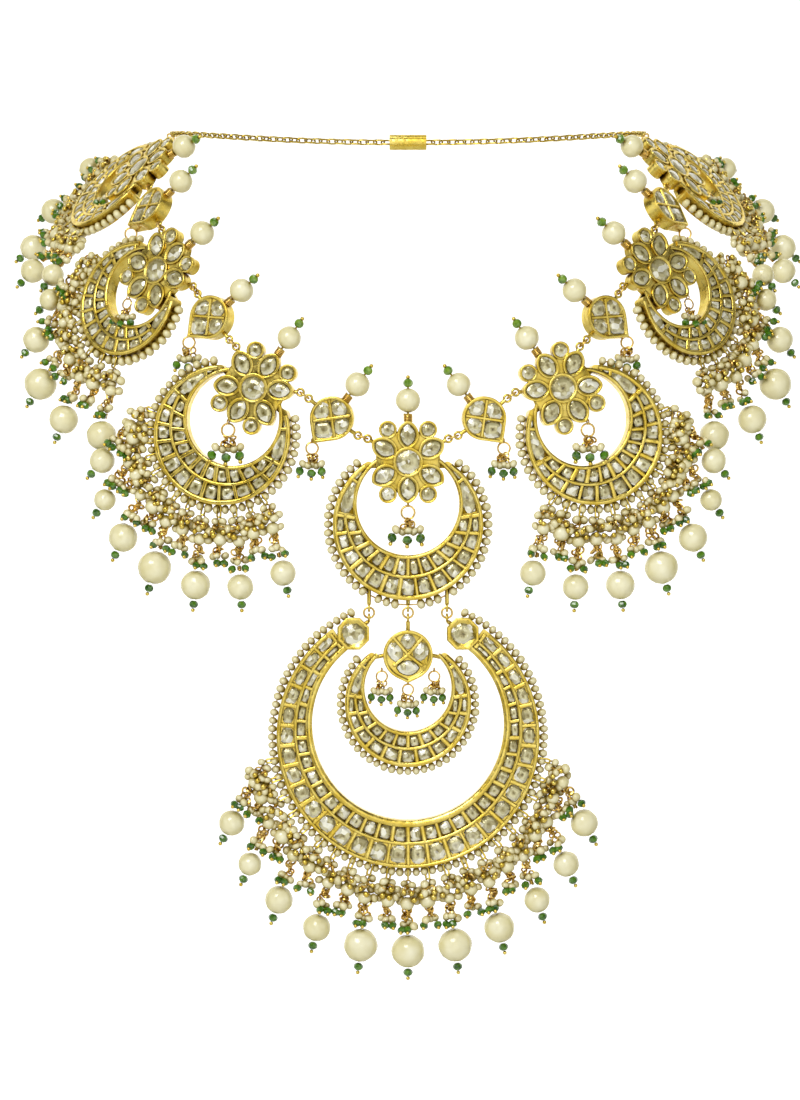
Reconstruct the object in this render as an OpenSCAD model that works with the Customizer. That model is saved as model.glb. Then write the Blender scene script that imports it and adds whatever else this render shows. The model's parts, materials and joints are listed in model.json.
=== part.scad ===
// Kundan necklace: seven flower and crescent units on a collar, six leaf connectors between them,
// a large crescent pendant with a small crescent hanging inside it, and fringes of pearls.
// Millimetres, +Z up, the front faces -Y, and the origin is the middle of the clasp at the nape.

/* [Flowers] */
// Distance from the middle of a flower to the tip of a petal
flower_reach = 12; // [11:0.1:13]
// Length of a petal
petal_len = 8.4; // [7.8:0.1:9]
// Width of a petal
petal_w = 5.7; // [5.2:0.1:6]
// Radius of the plate behind the petals
flower_plate_r = 8.8; // [8:0.1:9.2]
// Radius of the round stone in the middle
eye_stone_r = 3.5; // [3:0.1:3.8]
// Length of a petal's stone
petal_stone_len = 6.2; // [5.4:0.1:6.4]
// Width of a petal's stone
petal_stone_w = 4.3; // [3.6:0.1:4.6]
// Radius of a small round stone between two petals
dot_stone_r = 1.6; // [1.2:0.05:1.8]
// Distance of the small round stones from the middle of the flower
dot_reach = 11; // [10.4:0.1:11.4]
// Width of the web that joins a small round setting to the flower's plate
dot_web_w = 2.4; // [2:0.1:2.8]
// Thickness of a flower
flower_t = 3.4; // [3:0.1:4]

/* [Crescents] */
// Outer radius of the crescent in the middle of the collar
centre_crescent_r = 21.8; // [20:0.1:23]
// Outer radius of the first crescent at each side
first_crescent_r = 20.4; // [19:0.1:22]
// Outer radius of the second crescent at each side
second_crescent_r = 17.5; // [16:0.1:19]
// Outer radius of the third crescent at each side
third_crescent_r = 17; // [16:0.1:18]
// Width of the middle crescent at its lowest point
centre_belly = 13; // [12:0.1:14]
// Width of the first side crescent at its lowest point
first_belly = 12.4; // [11:0.1:13]
// Width of the second side crescent at its lowest point
second_belly = 10.8; // [10:0.1:11.5]
// Width of the third side crescent at its lowest point
third_belly = 10.4; // [9.5:0.1:11]
// Width that a crescent would shrink to above its flower
crescent_thin = 0.9; // [0.5:0.1:1.5]
// Sideways distance from the middle of a flower to the end of a crescent
tip_side = 11.4; // [11:0.1:12.5]
// Drop from the middle of a flower to the end of a crescent
tip_drop = 1; // [0:0.1:2]
// Thickness of a crescent
crescent_t = 4.2; // [3.6:0.1:5]

/* [Leaf connectors] */
// Radius of the round part of a connector
leaf_r = 6.4; // [6:0.1:7]
// Distance from the middle of a connector to its corner
leaf_corner = 9; // [8.6:0.1:9.4]
// Size of a connector's stone
leaf_stone = 4.1; // [3.6:0.1:4.3]
// Size of the stone in a connector's corner
leaf_corner_stone = 4.4; // [4:0.1:4.6]
// Thickness of a connector
leaf_t = 3.8; // [3.4:0.1:4.4]

/* [Main pendant] */
// Outer radius of the large crescent
pendant_r = 38.1; // [37:0.1:39]
// Width of the large crescent at its lowest point
pendant_belly = 13.8; // [13:0.1:14.5]
// Width that the large crescent would shrink to at its top
pendant_thin = 6.8; // [6:0.1:7.5]
// Half angle of the gap at the top of the large crescent
pendant_gap = 35; // [34:0.5:36]
// Stones in the outer row of the large crescent
pendant_row_count = 30; // [28:1:31]
// Size across the flats of an octagonal end setting
octagon_w = 8.7; // [8.4:0.1:9]
// Radius of the round stone in an octagon
octagon_stone_r = 3.2; // [2.8:0.1:3.4]
// How far an octagon sinks into the end of the large crescent
octagon_sunk = 0.25; // [0.15:0.05:0.5]

/* [Inner drop] */
// Radius of the round top of the hanging leaf
drop_leaf_r = 7.2; // [6.8:0.1:7.4]
// Distance from the middle of the hanging leaf to its point
drop_leaf_point = 8; // [7.8:0.1:8.6]
// Outer radius of the small crescent
inner_crescent_r = 18.3; // [17.6:0.1:18.8]
// Width of the small crescent at its lowest point
inner_belly = 10.2; // [9.6:0.1:10.8]
// Width that the small crescent would shrink to at its top
inner_thin = 1.2; // [0.8:0.1:1.6]
// Half angle of the gap at the top of the small crescent
inner_gap = 38; // [37:0.5:40]
// Drop from the middle of the leaf to the middle of the small crescent
inner_drop_to_crescent = 14; // [13.6:0.1:14.5]

/* [Settings and stones] */
// Gold wall between a stone and the edge of its setting
setting_rim = 1.2; // [1:0.05:1.4]
// Gold bar between two rows of stones
row_bar = 0.8; // [0.6:0.05:1]
// Gold wall between two stones of one row
cell_wall = 0.9; // [0.7:0.05:1.1]
// Depth of the sunken floor that the stones lie on
pocket_depth = 1.4; // [1.1:0.05:1.6]
// Space round a stone in its pocket
stone_fit = 0.12; // [0.1:0.01:0.2]
// Height by which a stone stands above its gold rim
stone_proud = 0.35; // [0.1:0.05:0.6]

/* [Pearls] */
// Thickness of a string of seed pearls round a crescent
seed_w = 2.6; // [2.2:0.1:2.9]
// Space between a crescent's edge and its string of seed pearls
seed_gap = 0.4; // [0.3:0.05:0.6]
// Radius of a pearl on the collar
collar_pearl_r = 3.7; // [3.4:0.1:4]
// Radius of the largest drop pearl of a fringe
drop_pearl_r = 5; // [4.6:0.1:5.2]
// Distance from the head of a fringe to the middle of a drop pearl
drop_hang = 20.5; // [19.5:0.1:22]
// The same distance on the third crescent at each side, whose fringe is short
third_drop_hang = 15.5; // [14.5:0.1:17]
// How far a strand without a drop pearl stops short of the drop pearls' middles
strand_short = 6.5; // [6:0.1:8]
// Half thickness of a fringe where its clusters are
cluster_r = 2.1; // [1.6:0.1:2.4]
// Radius of a green bead
green_r = 1.25; // [1:0.05:1.5]
// Radius of the gold ball at the end of a pin
ball_r = 0.6; // [0.4:0.05:0.7]

/* [Links and chain] */
// Radius of a link, to the middle of its wire
link_r = 1.5; // [1.4:0.05:1.7]
// Radius of an eyelet, to the middle of its wire
eyelet_r = 1; // [0.95:0.05:1.15]
// Radius of the wire of links and eyelets
wire_r = 0.35; // [0.3:0.01:0.38]
// Radius of a head pin
pin_r = 0.3; // [0.25:0.01:0.35]
// Radius of the straight stems that carry eyelets
stem_r = 0.6; // [0.55:0.05:0.65]
// Space round a pin in a pearl's bore
bore_fit = 0.15; // [0.1:0.01:0.25]
// Width of the chain behind the neck
chain_w = 2.6; // [2:0.1:3]
// Diameter of the clasp
clasp_w = 5; // [4:0.1:6]
// Length of the clasp
clasp_len = 12; // [10:0.5:15]
// Distance from the middle flower back to the clasp
nape_back = 122; // [118:1:128]
// Height of the clasp above the middle flower
nape_rise = 104; // [100:1:108]
// Drop from the middle flower to the line that the pendants swing about
hinge_drop = 45.2; // [45:0.1:46]
// Drop from the swing line to the middle of the hanging leaf
leaf_below_hinge = 10.8; // [10.4:0.1:11.2]
// Drop from the swing line to the middle of the large crescent
pendant_below_hinge = 34.3; // [34:0.1:34.8]

/* [Hidden] */
$fn = 48;
gold = "goldenrod";
pearl = "ivory";
glass = "darkseagreen";

// How each piece of the left half of the collar is turned, in degrees. Yaw turns its face
// outwards, lean tips its face upwards and roll tips its top towards the neck. Odd rows are
// connectors and even rows are flower units, counted outwards from the middle unit.
YAW = 0;
LEAN = 1;
ROLL = 2;
TURNS = [
    [0, 0, 0],
    [-4, 2, 37],
    [-10, -1, 35],
    [-27, -6, 50],
    [-34, -14, 50],
    [-51, -29, 42],
    [-57, -41, 60]
];

// Sizes of each unit's crescent, counted outwards, and of its fringe: the strands, the angles from
// the crescent's own lowest point at which the fringe starts and ends, how far its drop pearls hang
// and how strongly its strands turn from the crescent's radius to straight down
RADIUS = 0;
BELLY = 1;
STRANDS = 2;
FROM = 3;
TO = 4;
HANG = 5;
PULL = 6;
CRESCENTS = [
    [centre_crescent_r, centre_belly, 0, 0, 0, 0, 0],
    [first_crescent_r, first_belly, 13, -74, 68, drop_hang, 1.4],
    [second_crescent_r, second_belly, 9, -82, 44, drop_hang, 1.3],
    [third_crescent_r, third_belly, 9, -66, 66, third_drop_hang, 0.6]
];
PENDANT_FRINGE = [pendant_r, pendant_belly, 21, -80, 80, drop_hang, 1.6];

// Sizes of the drop pearls of each fringe, as shares of the largest one
DROP_SHARES = [
    [],
    [0.76, 0.66, 0.87, 1, 0.88, 0.78, 0.78],
    [0.7, 0.82, 1, 0.88, 0.9],
    [0.72, 0.82, 0.84, 0.78, 0.7]
];
PENDANT_DROP_SHARES = [0.77, 0.7, 0.84, 0.82, 1, 0.98, 1, 0.9, 0.77, 0.77, 0.82];

// Angles of the six petals and of the four small round stones
PETALS = [for (i = [0:5]) 30 + 60 * i];
DOTS = [58, 122, 238, 302];
eyelet_at = 30;

// A vector turned by roll, then lean, then yaw
function roll_by(v, a) = [v.x * cos(a) + v.z * sin(a), v.y, v.z * cos(a) - v.x * sin(a)];
function lean_by(v, a) = [v.x, v.y * cos(a) - v.z * sin(a), v.y * sin(a) + v.z * cos(a)];
function yaw_by(v, a) = [v.x * cos(a) - v.y * sin(a), v.x * sin(a) + v.y * cos(a), v.z];
function turned(v, i) = yaw_by(lean_by(roll_by(v, TURNS[i][ROLL]), TURNS[i][LEAN]), TURNS[i][YAW]);
function unit(v) = v / norm(v);
function is_flower(i) = i % 2 == 0;

// Eyelets stand at two petal tips of a flower and at both sides of a connector
flower_eyelet = flower_reach + eyelet_r + 0.5;
leaf_eyelet = leaf_r + wire_r + eyelet_r + 1.2;
function eyelet_right(i) = is_flower(i)
    ? flower_eyelet * [cos(eyelet_at), 0, sin(eyelet_at)] : [leaf_eyelet, 0, 0.5];
function eyelet_left(i) = [-eyelet_right(i).x, 0, eyelet_right(i).z];

// The collar is walked outwards from the middle flower: out of one piece's left eyelet, across a
// link and into the next piece's right eyelet
function link_dir(i) = unit(turned([-1, 0, 0], i) + turned([-1, 0, 0], i + 1));
function link_start(i) = place(i) + turned(eyelet_left(i), i);
function link_end(i) = link_start(i) + 2 * link_r * link_dir(i);
function place(i) = i == 0 ? [0, 0, 0] : link_end(i - 1) - turned(eyelet_right(i), i);

// Crescents: the inner circle lies above the outer one's middle
function inner_r(r, belly, thin) = r - (belly + thin) / 2;
function inner_up(belly, thin) = (belly - thin) / 2;
function reach_to(r, up, a) = up * cos(a) + sqrt(r * r - pow(up * sin(a), 2));
function tip_w(r, belly, thin, a) = r - reach_to(inner_r(r, belly, thin), inner_up(belly, thin), a);
tip_half_w = 1.15;
function gap_of(k) = asin(tip_side / (CRESCENTS[k][RADIUS] - tip_half_w));
function crescent_drop(k) =
    (CRESCENTS[k][RADIUS] - tip_half_w) * cos(gap_of(k)) + tip_drop;
// The bar between the rows divides the lowest point in this share from the outside
row_split = 0.52;
double_row_from = 82;
row_end_margin = 6;
double_row_lap = 3;

// Strings of seed pearls and fringes
function rim_line(r) = r + seed_gap + seed_w / 2;
head_gap = 0.3;
head_w = 0.8;
function head_line(r) = rim_line(r) + seed_w / 2 + head_gap + head_w / 2;
function down_in(i) = unit([-turned([1, 0, 0], i).z, -turned([0, 0, 1], i).z]);
function radial(a) = [sin(a), -cos(a)];
function strand_dir(fringe, a, down) = unit(radial(a) + fringe[PULL] * down);
function strand_angle(fringe, u) = fringe[FROM] + (fringe[TO] - fringe[FROM]) * u / (fringe[STRANDS] - 1);
function strand_point(fringe, down, u, s) =
    head_line(fringe[RADIUS]) * radial(strand_angle(fringe, u))
    + s * strand_dir(fringe, strand_angle(fringe, u), down);

drop_clear = 0.3;
link_wire_r = wire_r * 0.85;
crescent_front = -crescent_t / 2;
flower_back = 0.9;
flower_front = flower_back - flower_t;
tuck_gap = 0.1;
leaf_front = -leaf_t / 2;
pendant_z = -hinge_drop - pendant_below_hinge;
drop_leaf_z = -hinge_drop - leaf_below_hinge;
nape = [0, nape_back, nape_rise];

// Outline of a cut stone or of its pocket: an octagon drawn in an oval
function octagon_points(len, w) = [for (k = [0:7]) [len / 2 * cos(45 * k), w / 2 * sin(45 * k)]];

// Stones of each setting: where they lie, how far they are turned, their length and their width
STONE_X = 0;
STONE_Z = 1;
STONE_TURN = 2;
STONE_LEN = 3;
STONE_W = 4;
petal_mid = flower_reach - petal_len / 2;
FLOWER_STONES = concat(
    [[0, 0, 0, 2 * eye_stone_r, 2 * eye_stone_r]],
    [for (a = PETALS) [petal_mid * cos(a), petal_mid * sin(a), a, petal_stone_len, petal_stone_w]],
    [for (a = DOTS) [dot_reach * cos(a), dot_reach * sin(a), a, 2 * dot_stone_r, 2 * dot_stone_r]]
);
leaf_stone_out = (leaf_r - setting_rim + row_bar / 2) * 0.63;
leaf_corner_out = (leaf_corner - setting_rim * sqrt(2) + row_bar / 2 * sqrt(2)) * 0.51;
LEAF_STONES = [
    [0, -leaf_corner_out, 45, leaf_corner_stone, leaf_corner_stone],
    [0, leaf_stone_out, 0, leaf_stone, leaf_stone],
    [leaf_stone_out, 0, 0, leaf_stone, leaf_stone],
    [-leaf_stone_out, 0, 0, leaf_stone, leaf_stone]
];
side_stone_x = drop_leaf_r - setting_rim - 2.1;
DROP_LEAF_STONES = [
    [0, 3.9, 0, 5, 3.2],
    [side_stone_x, 0.1, 70, 5.6, 4],
    [-side_stone_x, 0.1, -70, 5.6, 4],
    [0, -4.4, 0, 6, 3.2]
];

// The outer row of the large crescent, between its rim and the bar under the row
pendant_in_r = inner_r(pendant_r, pendant_belly, pendant_thin);
pendant_up = inner_up(pendant_belly, pendant_thin);
pendant_bar_r = (pendant_r + pendant_in_r) / 2 - 0.3;
pendant_bar_up = pendant_up / 2;
pendant_row_from = pendant_gap + 2;
pendant_row_pitch = (360 - 2 * pendant_row_from) / pendant_row_count;
function row_low(a) = reach_to(pendant_bar_r, pendant_bar_up, a) + row_bar / 2 + stone_fit;
row_high = pendant_r - setting_rim - stone_fit;
PENDANT_ROW = [
    for (k = [0:pendant_row_count - 1])
        let (a = pendant_row_from + (k + 0.5) * pendant_row_pitch)
        let (mid = (row_low(a) + row_high) / 2)
        [mid * sin(a), mid * cos(a), 90 - a, row_high - row_low(a),
            mid * pendant_row_pitch * PI / 180 - cell_wall]
];
octagon_out = pendant_r - octagon_w / 2;
octagon_at = pendant_gap - asin((octagon_w / 2 - octagon_sunk) / octagon_out);
octagon_x = octagon_out * sin(octagon_at);
octagon_z = octagon_out * cos(octagon_at);
OCTAGON_STONES = [
    for (side = [-1, 1]) [side * octagon_x, octagon_z, 0, 2 * octagon_stone_r, 2 * octagon_stone_r]
];
side_link_x = 11.3;
pendant_string_from = 23;
inner_string_from = 46;

// Places and turns
module from_nape() translate(-nape) children();
module at_left(i) from_nape() translate(place(i)) rotate([0, 0, TURNS[i][YAW]])
    rotate([TURNS[i][LEAN], 0, 0]) rotate([0, TURNS[i][ROLL], 0]) children();
module at_right(i) mirror([1, 0, 0]) at_left(i) children();
module at_crescent(k) translate([0, 0, -crescent_drop(k)]) children();
module at_pendant() from_nape() translate([0, 0, pendant_z]) children();
module at_drop_leaf() from_nape() translate([0, 0, drop_leaf_z]) children();

// A flat outline made a plate whose face is at front and whose back is at back
module plate(front, back) translate([0, back, 0]) rotate([90, 0, 0]) linear_extrude(back - front) children();

// A ring of round wire in the plane of a plate
module ring(r, wire) rotate([90, 0, 0]) rotate_extrude() translate([r, 0]) circle(wire, $fn = 24);

// A straight round bar between two points of the middle plane
module bar(from, to, r)
    translate([from.x, 0, from.y]) rotate([0, atan2(to.x - from.x, to.y - from.y), 0])
    cylinder(h = norm(to - from), r = r);

// The part of a plane within a half angle of straight up
module top_wedge(a, r) polygon([[0, 0], [-r * sin(a), r * cos(a)], [-r * sin(a), r],
    [r * sin(a), r], [r * sin(a), r * cos(a)]]);

module crescent_outline(r, belly, thin, gap) {
    in_r = inner_r(r, belly, thin);
    up = inner_up(belly, thin);
    end_w = tip_w(r, belly, thin, gap);
    difference() {
        circle(r, $fn = 96);
        translate([0, up]) circle(in_r, $fn = 96);
        top_wedge(gap, 2 * r);
    }
    for (side = [-1, 1])
        translate((r - end_w / 2) * [side * sin(gap), cos(gap)]) circle(end_w / 2, $fn = 24);
}

// The sunken rows of a small crescent: two rows below and one that narrows towards each end
module crescent_rows(r, belly, thin, gap) {
    in_r = inner_r(r, belly, thin);
    up = inner_up(belly, thin);
    bar_up = up * row_split;
    bar_r = r - row_split * belly + bar_up;
    difference() {
        circle(r - setting_rim, $fn = 96);
        translate([0, bar_up]) circle(bar_r + row_bar / 2, $fn = 96);
        top_wedge(double_row_from, 2 * r);
    }
    difference() {
        translate([0, bar_up]) circle(bar_r - row_bar / 2, $fn = 96);
        translate([0, up]) circle(in_r + setting_rim, $fn = 96);
        top_wedge(double_row_from, 2 * r);
    }
    intersection() {
        difference() {
            circle(r - setting_rim, $fn = 96);
            translate([0, up]) circle(in_r + setting_rim, $fn = 96);
            top_wedge(gap + row_end_margin, 2 * r);
        }
        top_wedge(double_row_from - double_row_lap, 2 * r);
    }
}

module crescent_plate(r, belly, thin, gap, front, back) {
    plate(front + pocket_depth, back) crescent_outline(r, belly, thin, gap);
    plate(front, front + pocket_depth) difference() {
        crescent_outline(r, belly, thin, gap);
        crescent_rows(r, belly, thin, gap);
    }
}

// A crescent of the collar. A tongue at the back of each end lies under the flower.
module crescent(k) color(gold) at_crescent(k) {
    r = CRESCENTS[k][RADIUS];
    gap = gap_of(k);
    tip = (r - tip_half_w) * [sin(gap), cos(gap)];
    under = [flower_plate_r - 2, crescent_drop(k) - tip_drop];
    tongue_w = 1.6;
    crescent_plate(r, CRESCENTS[k][BELLY], crescent_thin, gap, crescent_front, crescent_t / 2);
    plate(flower_back + tuck_gap, crescent_t / 2) for (side = [-1, 1]) mirror([side > 0 ? 1 : 0, 0]) {
        polygon([[-tip.x, tip.y - tongue_w / 2], [-under.x, under.y - tongue_w / 2],
            [-under.x, under.y + tongue_w / 2], [-tip.x, tip.y + tongue_w / 2]]);
        translate([-under.x, under.y]) circle(tongue_w / 2, $fn = 24);
    }
}

// Stems and eyelets under the middle crescent, which the pendant's links hang in
link_top_z = -hinge_drop + 2 * link_r;
module hanger(x) {
    r = centre_crescent_r;
    edge = -crescent_drop(0) - sqrt(r * r - x * x);
    bar([x, edge + 0.5], [x, link_top_z + eyelet_r - wire_r / 2], stem_r);
    translate([x, 0, link_top_z]) rotate([0, 0, 90]) ring(eyelet_r, wire_r);
}
module crescent_centre() color(gold) {
    crescent(0);
    for (x = [-side_link_x, 0, side_link_x]) hanger(x);
}

// A string of seed pearls, as a thick round cord along the edge
module pearl_string(r, from) color(pearl)
    rotate([90, 0, 0]) rotate([0, 0, 90 + from])
    rotate_extrude(angle = 360 - 2 * from, $fn = 96) translate([rim_line(r), 0]) circle(seed_w / 2, $fn = 32);
string_margin = 3;
module rim_pearls(k) at_crescent(k) pearl_string(CRESCENTS[k][RADIUS], gap_of(k) + string_margin);
module rim_pearls_centre() color(pearl) difference() {
    rim_pearls(0);
    for (x = [-side_link_x, 0, side_link_x])
        bar([x, -crescent_drop(0)], [x, link_top_z - eyelet_r - 1], eyelet_r + wire_r + 0.3);
}

// Pockets for a list of stones, and the stones
module pockets(stones) for (s = stones) translate([s[STONE_X], s[STONE_Z]]) rotate(s[STONE_TURN])
    polygon(octagon_points(s[STONE_LEN] + 2 * stone_fit, s[STONE_W] + 2 * stone_fit));
module cut_stone(len, w, front) {
    floor_gap = 0.1;
    base = front + pocket_depth - floor_gap;
    girdle = front + 0.2;
    table = front - stone_proud;
    rings = [octagon_points(len * 0.86, w * 0.86), octagon_points(len, w), octagon_points(len * 0.6, w * 0.6)];
    depths = [base, girdle, table];
    points = [for (j = [0:2]) for (p = rings[j]) [p.x, depths[j], p.y]];
    sides = [for (j = [0:1]) for (k = [0:7])
        let (n = (k + 1) % 8)
        each [[8 * j + k, 8 * j + 8 + k, 8 * j + 8 + n], [8 * j + k, 8 * j + 8 + n, 8 * j + n]]];
    polyhedron(points, concat([[0, 1, 2, 3, 4, 5, 6, 7]], sides, [[23, 22, 21, 20, 19, 18, 17, 16]]));
}
module stones(list, front) color(glass) for (s = list)
    translate([s[STONE_X], 0, s[STONE_Z]]) rotate([0, -s[STONE_TURN], 0])
    cut_stone(s[STONE_LEN], s[STONE_W], front);

// A petal is the overlap of two circles
module petal() {
    bow = (petal_len * petal_len + petal_w * petal_w) / (4 * petal_w);
    intersection() {
        translate([0, bow - petal_w / 2]) circle(bow, $fn = 96);
        translate([0, petal_w / 2 - bow]) circle(bow, $fn = 96);
    }
}
module flower_outline() {
    circle(eye_stone_r + 0.6);
    for (a = PETALS) rotate(a) translate([petal_mid, 0]) petal();
    for (a = DOTS) rotate(a) {
        translate([dot_reach, 0]) circle(dot_stone_r + 0.85, $fn = 32);
        translate([flower_plate_r - dot_stone_r, -dot_web_w / 2])
            square([dot_reach + dot_stone_r - flower_plate_r, dot_web_w]);
    }
}

// The wire coil and pin on the neck side of a flower or connector. A collar pearl sits on it.
coil_r = 1.1;
coil_h = 2;
coil_sunk = 0.5;
function coil_from(i) = is_flower(i) ? flower_reach : leaf_r;
function collar_pearl_z(i) = coil_from(i) + coil_h + collar_pearl_r + drop_clear / 2;
module collar_pin(i, y) translate([0, y, 0]) {
    top = collar_pearl_z(i) + collar_pearl_r + green_r + 0.1;
    translate([0, 0, coil_from(i) - coil_sunk]) cylinder(h = coil_h + coil_sunk, r = coil_r);
    translate([0, 0, coil_from(i)]) cylinder(h = top - coil_from(i) + green_r + ball_r, r = pin_r);
    translate([0, 0, top]) sphere(green_r);
    translate([0, 0, top + green_r + ball_r * 0.7]) sphere(ball_r, $fn = 32);
}
module collar_pearl(i, y) color(pearl) translate([0, y, collar_pearl_z(i)]) difference() {
    sphere(collar_pearl_r);
    translate([0, 0, -2 * collar_pearl_r]) cylinder(h = 4 * collar_pearl_r, r = pin_r + bore_fit);
}
flower_mid = (flower_front + flower_back) / 2;

// Eyelets are soldered to the plate with a short stem
module eyelets(i, y) for (side = [-1, 1]) translate([0, y, 0]) {
    e = [side * eyelet_right(i).x, eyelet_right(i).z];
    foot = e * (is_flower(i) ? petal_mid / norm(e) : 0.6);
    translate([e.x, 0, e.y]) ring(eyelet_r, wire_r);
    bar(foot, e * (1 - (eyelet_r - wire_r / 2) / norm(e)), stem_r);
}
module flower(i) color(gold) {
    plate(flower_front + pocket_depth, flower_back) {
        flower_outline();
        circle(flower_plate_r, $fn = 64);
    }
    plate(flower_front, flower_front + pocket_depth) difference() {
        flower_outline();
        pockets(FLOWER_STONES);
    }
    eyelets(i, 0);
    collar_pin(i, flower_mid);
}

// A round outline drawn out to one corner that points down. The corner's sides start just inside the
// round, so they cross it and don't only touch it.
corner_sunk = 0.15;
module drop_outline(r, point) {
    side = acos(r / point);
    foot = r - corner_sunk;
    circle(r, $fn = 64);
    polygon([[0, 0], foot * radial(-side), [0, -point], foot * radial(side)]);
}
module connector(i) color(gold) {
    plate(leaf_front + pocket_depth, leaf_t / 2) drop_outline(leaf_r, leaf_corner);
    plate(leaf_front, leaf_front + pocket_depth) difference() {
        drop_outline(leaf_r, leaf_corner);
        pockets(LEAF_STONES);
    }
    eyelets(i, 0);
    collar_pin(i, 0);
}

// A fringe is a closed curtain of locks, one for each strand: thick at the strand, thin between two
// strands, and thick and thin again along its length as the clusters are
STATION = 0;
THICK = 1;
LOCK = [[0, 0.2], [0.14, 1], [0.36, 0.5], [0.56, 1.05], [0.76, 0.5], [0.92, 0.95], [1, 0.35]];
LOCK_STEPS = 3;
valley_share = 0.52;
valley_t = 0.3;
function has_drop(j) = j % 2 == 0;
function drop_r(shares, j) = drop_pearl_r * shares[j / 2];
// Strands that hang slantwise to the crescent's edge lie close together, so they are shorter
function slant(row, down, j) =
    let (a = strand_angle(row, j)) 0.6 + 0.4 * radial(a) * strand_dir(row, a, down);
function lock_len(row, shares, down, j) = has_drop(j)
    ? row[HANG] - drop_r(shares, j) - drop_clear : (row[HANG] - strand_short) * slant(row, down, j);
function lock_shape(u) = (1 + cos(360 * u)) / 2;
module fringe(row, shares, down) color(pearl) {
    last = LOCK_STEPS * (row[STRANDS] - 1);
    rows = len(LOCK);
    columns = [for (i = [-1:last + 1])
        let (u = i / LOCK_STEPS, j = min(max(round(u), 0), row[STRANDS] - 1))
        let (shape = lock_shape(u), valley = valley_share * row[HANG] * slant(row, down, j))
        let (reach = valley + (lock_len(row, shares, down, j) - valley) * shape)
        [for (side = [1, -1]) [for (s = LOCK)
            let (p = strand_point(row, down, u, s[STATION] * reach))
            [p.x, side * (valley_t + (s[THICK] * cluster_r - valley_t) * shape), p.y]]]];
    count = len(columns);
    points = [for (c = columns) each concat(c[0], c[1])];
    skins = [for (i = [0:count - 2]) for (s = [0:rows - 2])
        let (a = 2 * rows * i + s, b = a + 2 * rows)
        each [[a, a + 1, b + 1], [a, b + 1, b],
            [a + rows, b + rows + 1, a + rows + 1], [a + rows, b + rows, b + rows + 1]]];
    ends = [for (i = [0:count - 2])
        let (a = 2 * rows * i, b = a + 2 * rows, low = a + rows - 1, next = b + rows - 1)
        each [[a, b, b + rows], [a, b + rows, a + rows],
            [low, low + rows, next + rows], [low, next + rows, next]]];
    far = 2 * rows * (count - 1);
    sides = [for (s = [0:rows - 2])
        each [[s, s + rows + 1, s + 1], [s, s + rows, s + rows + 1],
            [far + s, far + s + 1, far + s + rows + 1], [far + s, far + s + rows + 1, far + s + rows]]];
    polyhedron(points, concat(skins, ends, sides));
    for (j = [0:2:row[STRANDS] - 1]) drop_pin(row, shares, down, j);
}

// The pin of a drop pearl comes out of its lock, goes through the pearl and ends in a bead and ball
module along_strand(row, down, j, s) {
    p = strand_point(row, down, j, s);
    d = strand_dir(row, strand_angle(row, j), down);
    translate([p.x, 0, p.y]) rotate([0, atan2(d.x, d.y), 0]) children();
}
module drop_pin(row, shares, down, j) {
    r = drop_r(shares, j);
    start = row[HANG] - r - 2;
    bead = row[HANG] + r + green_r + 0.1;
    along_strand(row, down, j, start) cylinder(h = bead - start + green_r + ball_r, r = pin_r);
    along_strand(row, down, j, bead) sphere(green_r);
    along_strand(row, down, j, bead + green_r + ball_r * 0.7) sphere(ball_r, $fn = 32);
}
module drops(row, shares, down) color(pearl) for (j = [0:2:row[STRANDS] - 1])
    along_strand(row, down, j, row[HANG]) difference() {
        sphere(drop_r(shares, j));
        translate([0, 0, -2 * drop_pearl_r]) cylinder(h = 4 * drop_pearl_r, r = pin_r + bore_fit);
    }
module unit_fringe(k) at_crescent(k) fringe(CRESCENTS[k], DROP_SHARES[k], down_in(2 * k));
module unit_drops(k) at_crescent(k) drops(CRESCENTS[k], DROP_SHARES[k], down_in(2 * k));

// A small bunch of beads that hangs from a ring: a ring, a stalk and a round cluster
bunch_r = 1.7;
bunch_stalk_r = 0.6;
bunch_top = eyelet_r + wire_r + drop_clear;
bunch_clear = 0.9;
module bunch(drop) color(pearl) {
    ring(eyelet_r, wire_r);
    translate([0, 0, -drop]) sphere(bunch_r);
    translate([0, 0, -drop]) cylinder(h = drop - eyelet_r, r = bunch_stalk_r);
}
// A flower's bunch ends clear of the inner edge of its crescent
function bunch_drop(k) = crescent_drop(k) + CRESCENTS[k][RADIUS] - CRESCENTS[k][BELLY]
    - flower_reach - bunch_top - bunch_r - bunch_clear;
module flower_bunch(k) {
    down = down_in(2 * k);
    translate([0, flower_mid, -flower_reach - bunch_top])
        rotate([0, atan2(-down.x, -down.y), 0]) bunch(bunch_drop(k));
}

// A link between two eyelets of the collar, standing square to the plates
module collar_link(i) color(gold) from_nape() {
    g = link_dir(i);
    n = unit(cross(cross(g, turned([0, -1, 0], i)), g));
    s = cross(g, n);
    c = (link_start(i) + link_end(i)) / 2;
    multmatrix([[g.x, n.x, s.x, c.x], [g.y, n.y, s.y, c.y], [g.z, n.z, s.z, c.z], [0, 0, 0, 1]])
        rotate_extrude() translate([link_r, 0]) circle(link_wire_r, $fn = 24);
}

// The three links that the pendants hang in. Their lowest wire lies on the swing line.
module pendant_link(x) color(gold) from_nape() translate([x, 0, -hinge_drop + link_r]) ring(link_r, link_wire_r);
module swing_eyelet(x) translate([x, 0, -hinge_drop]) rotate([0, 0, 90]) ring(eyelet_r, wire_r);

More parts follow.
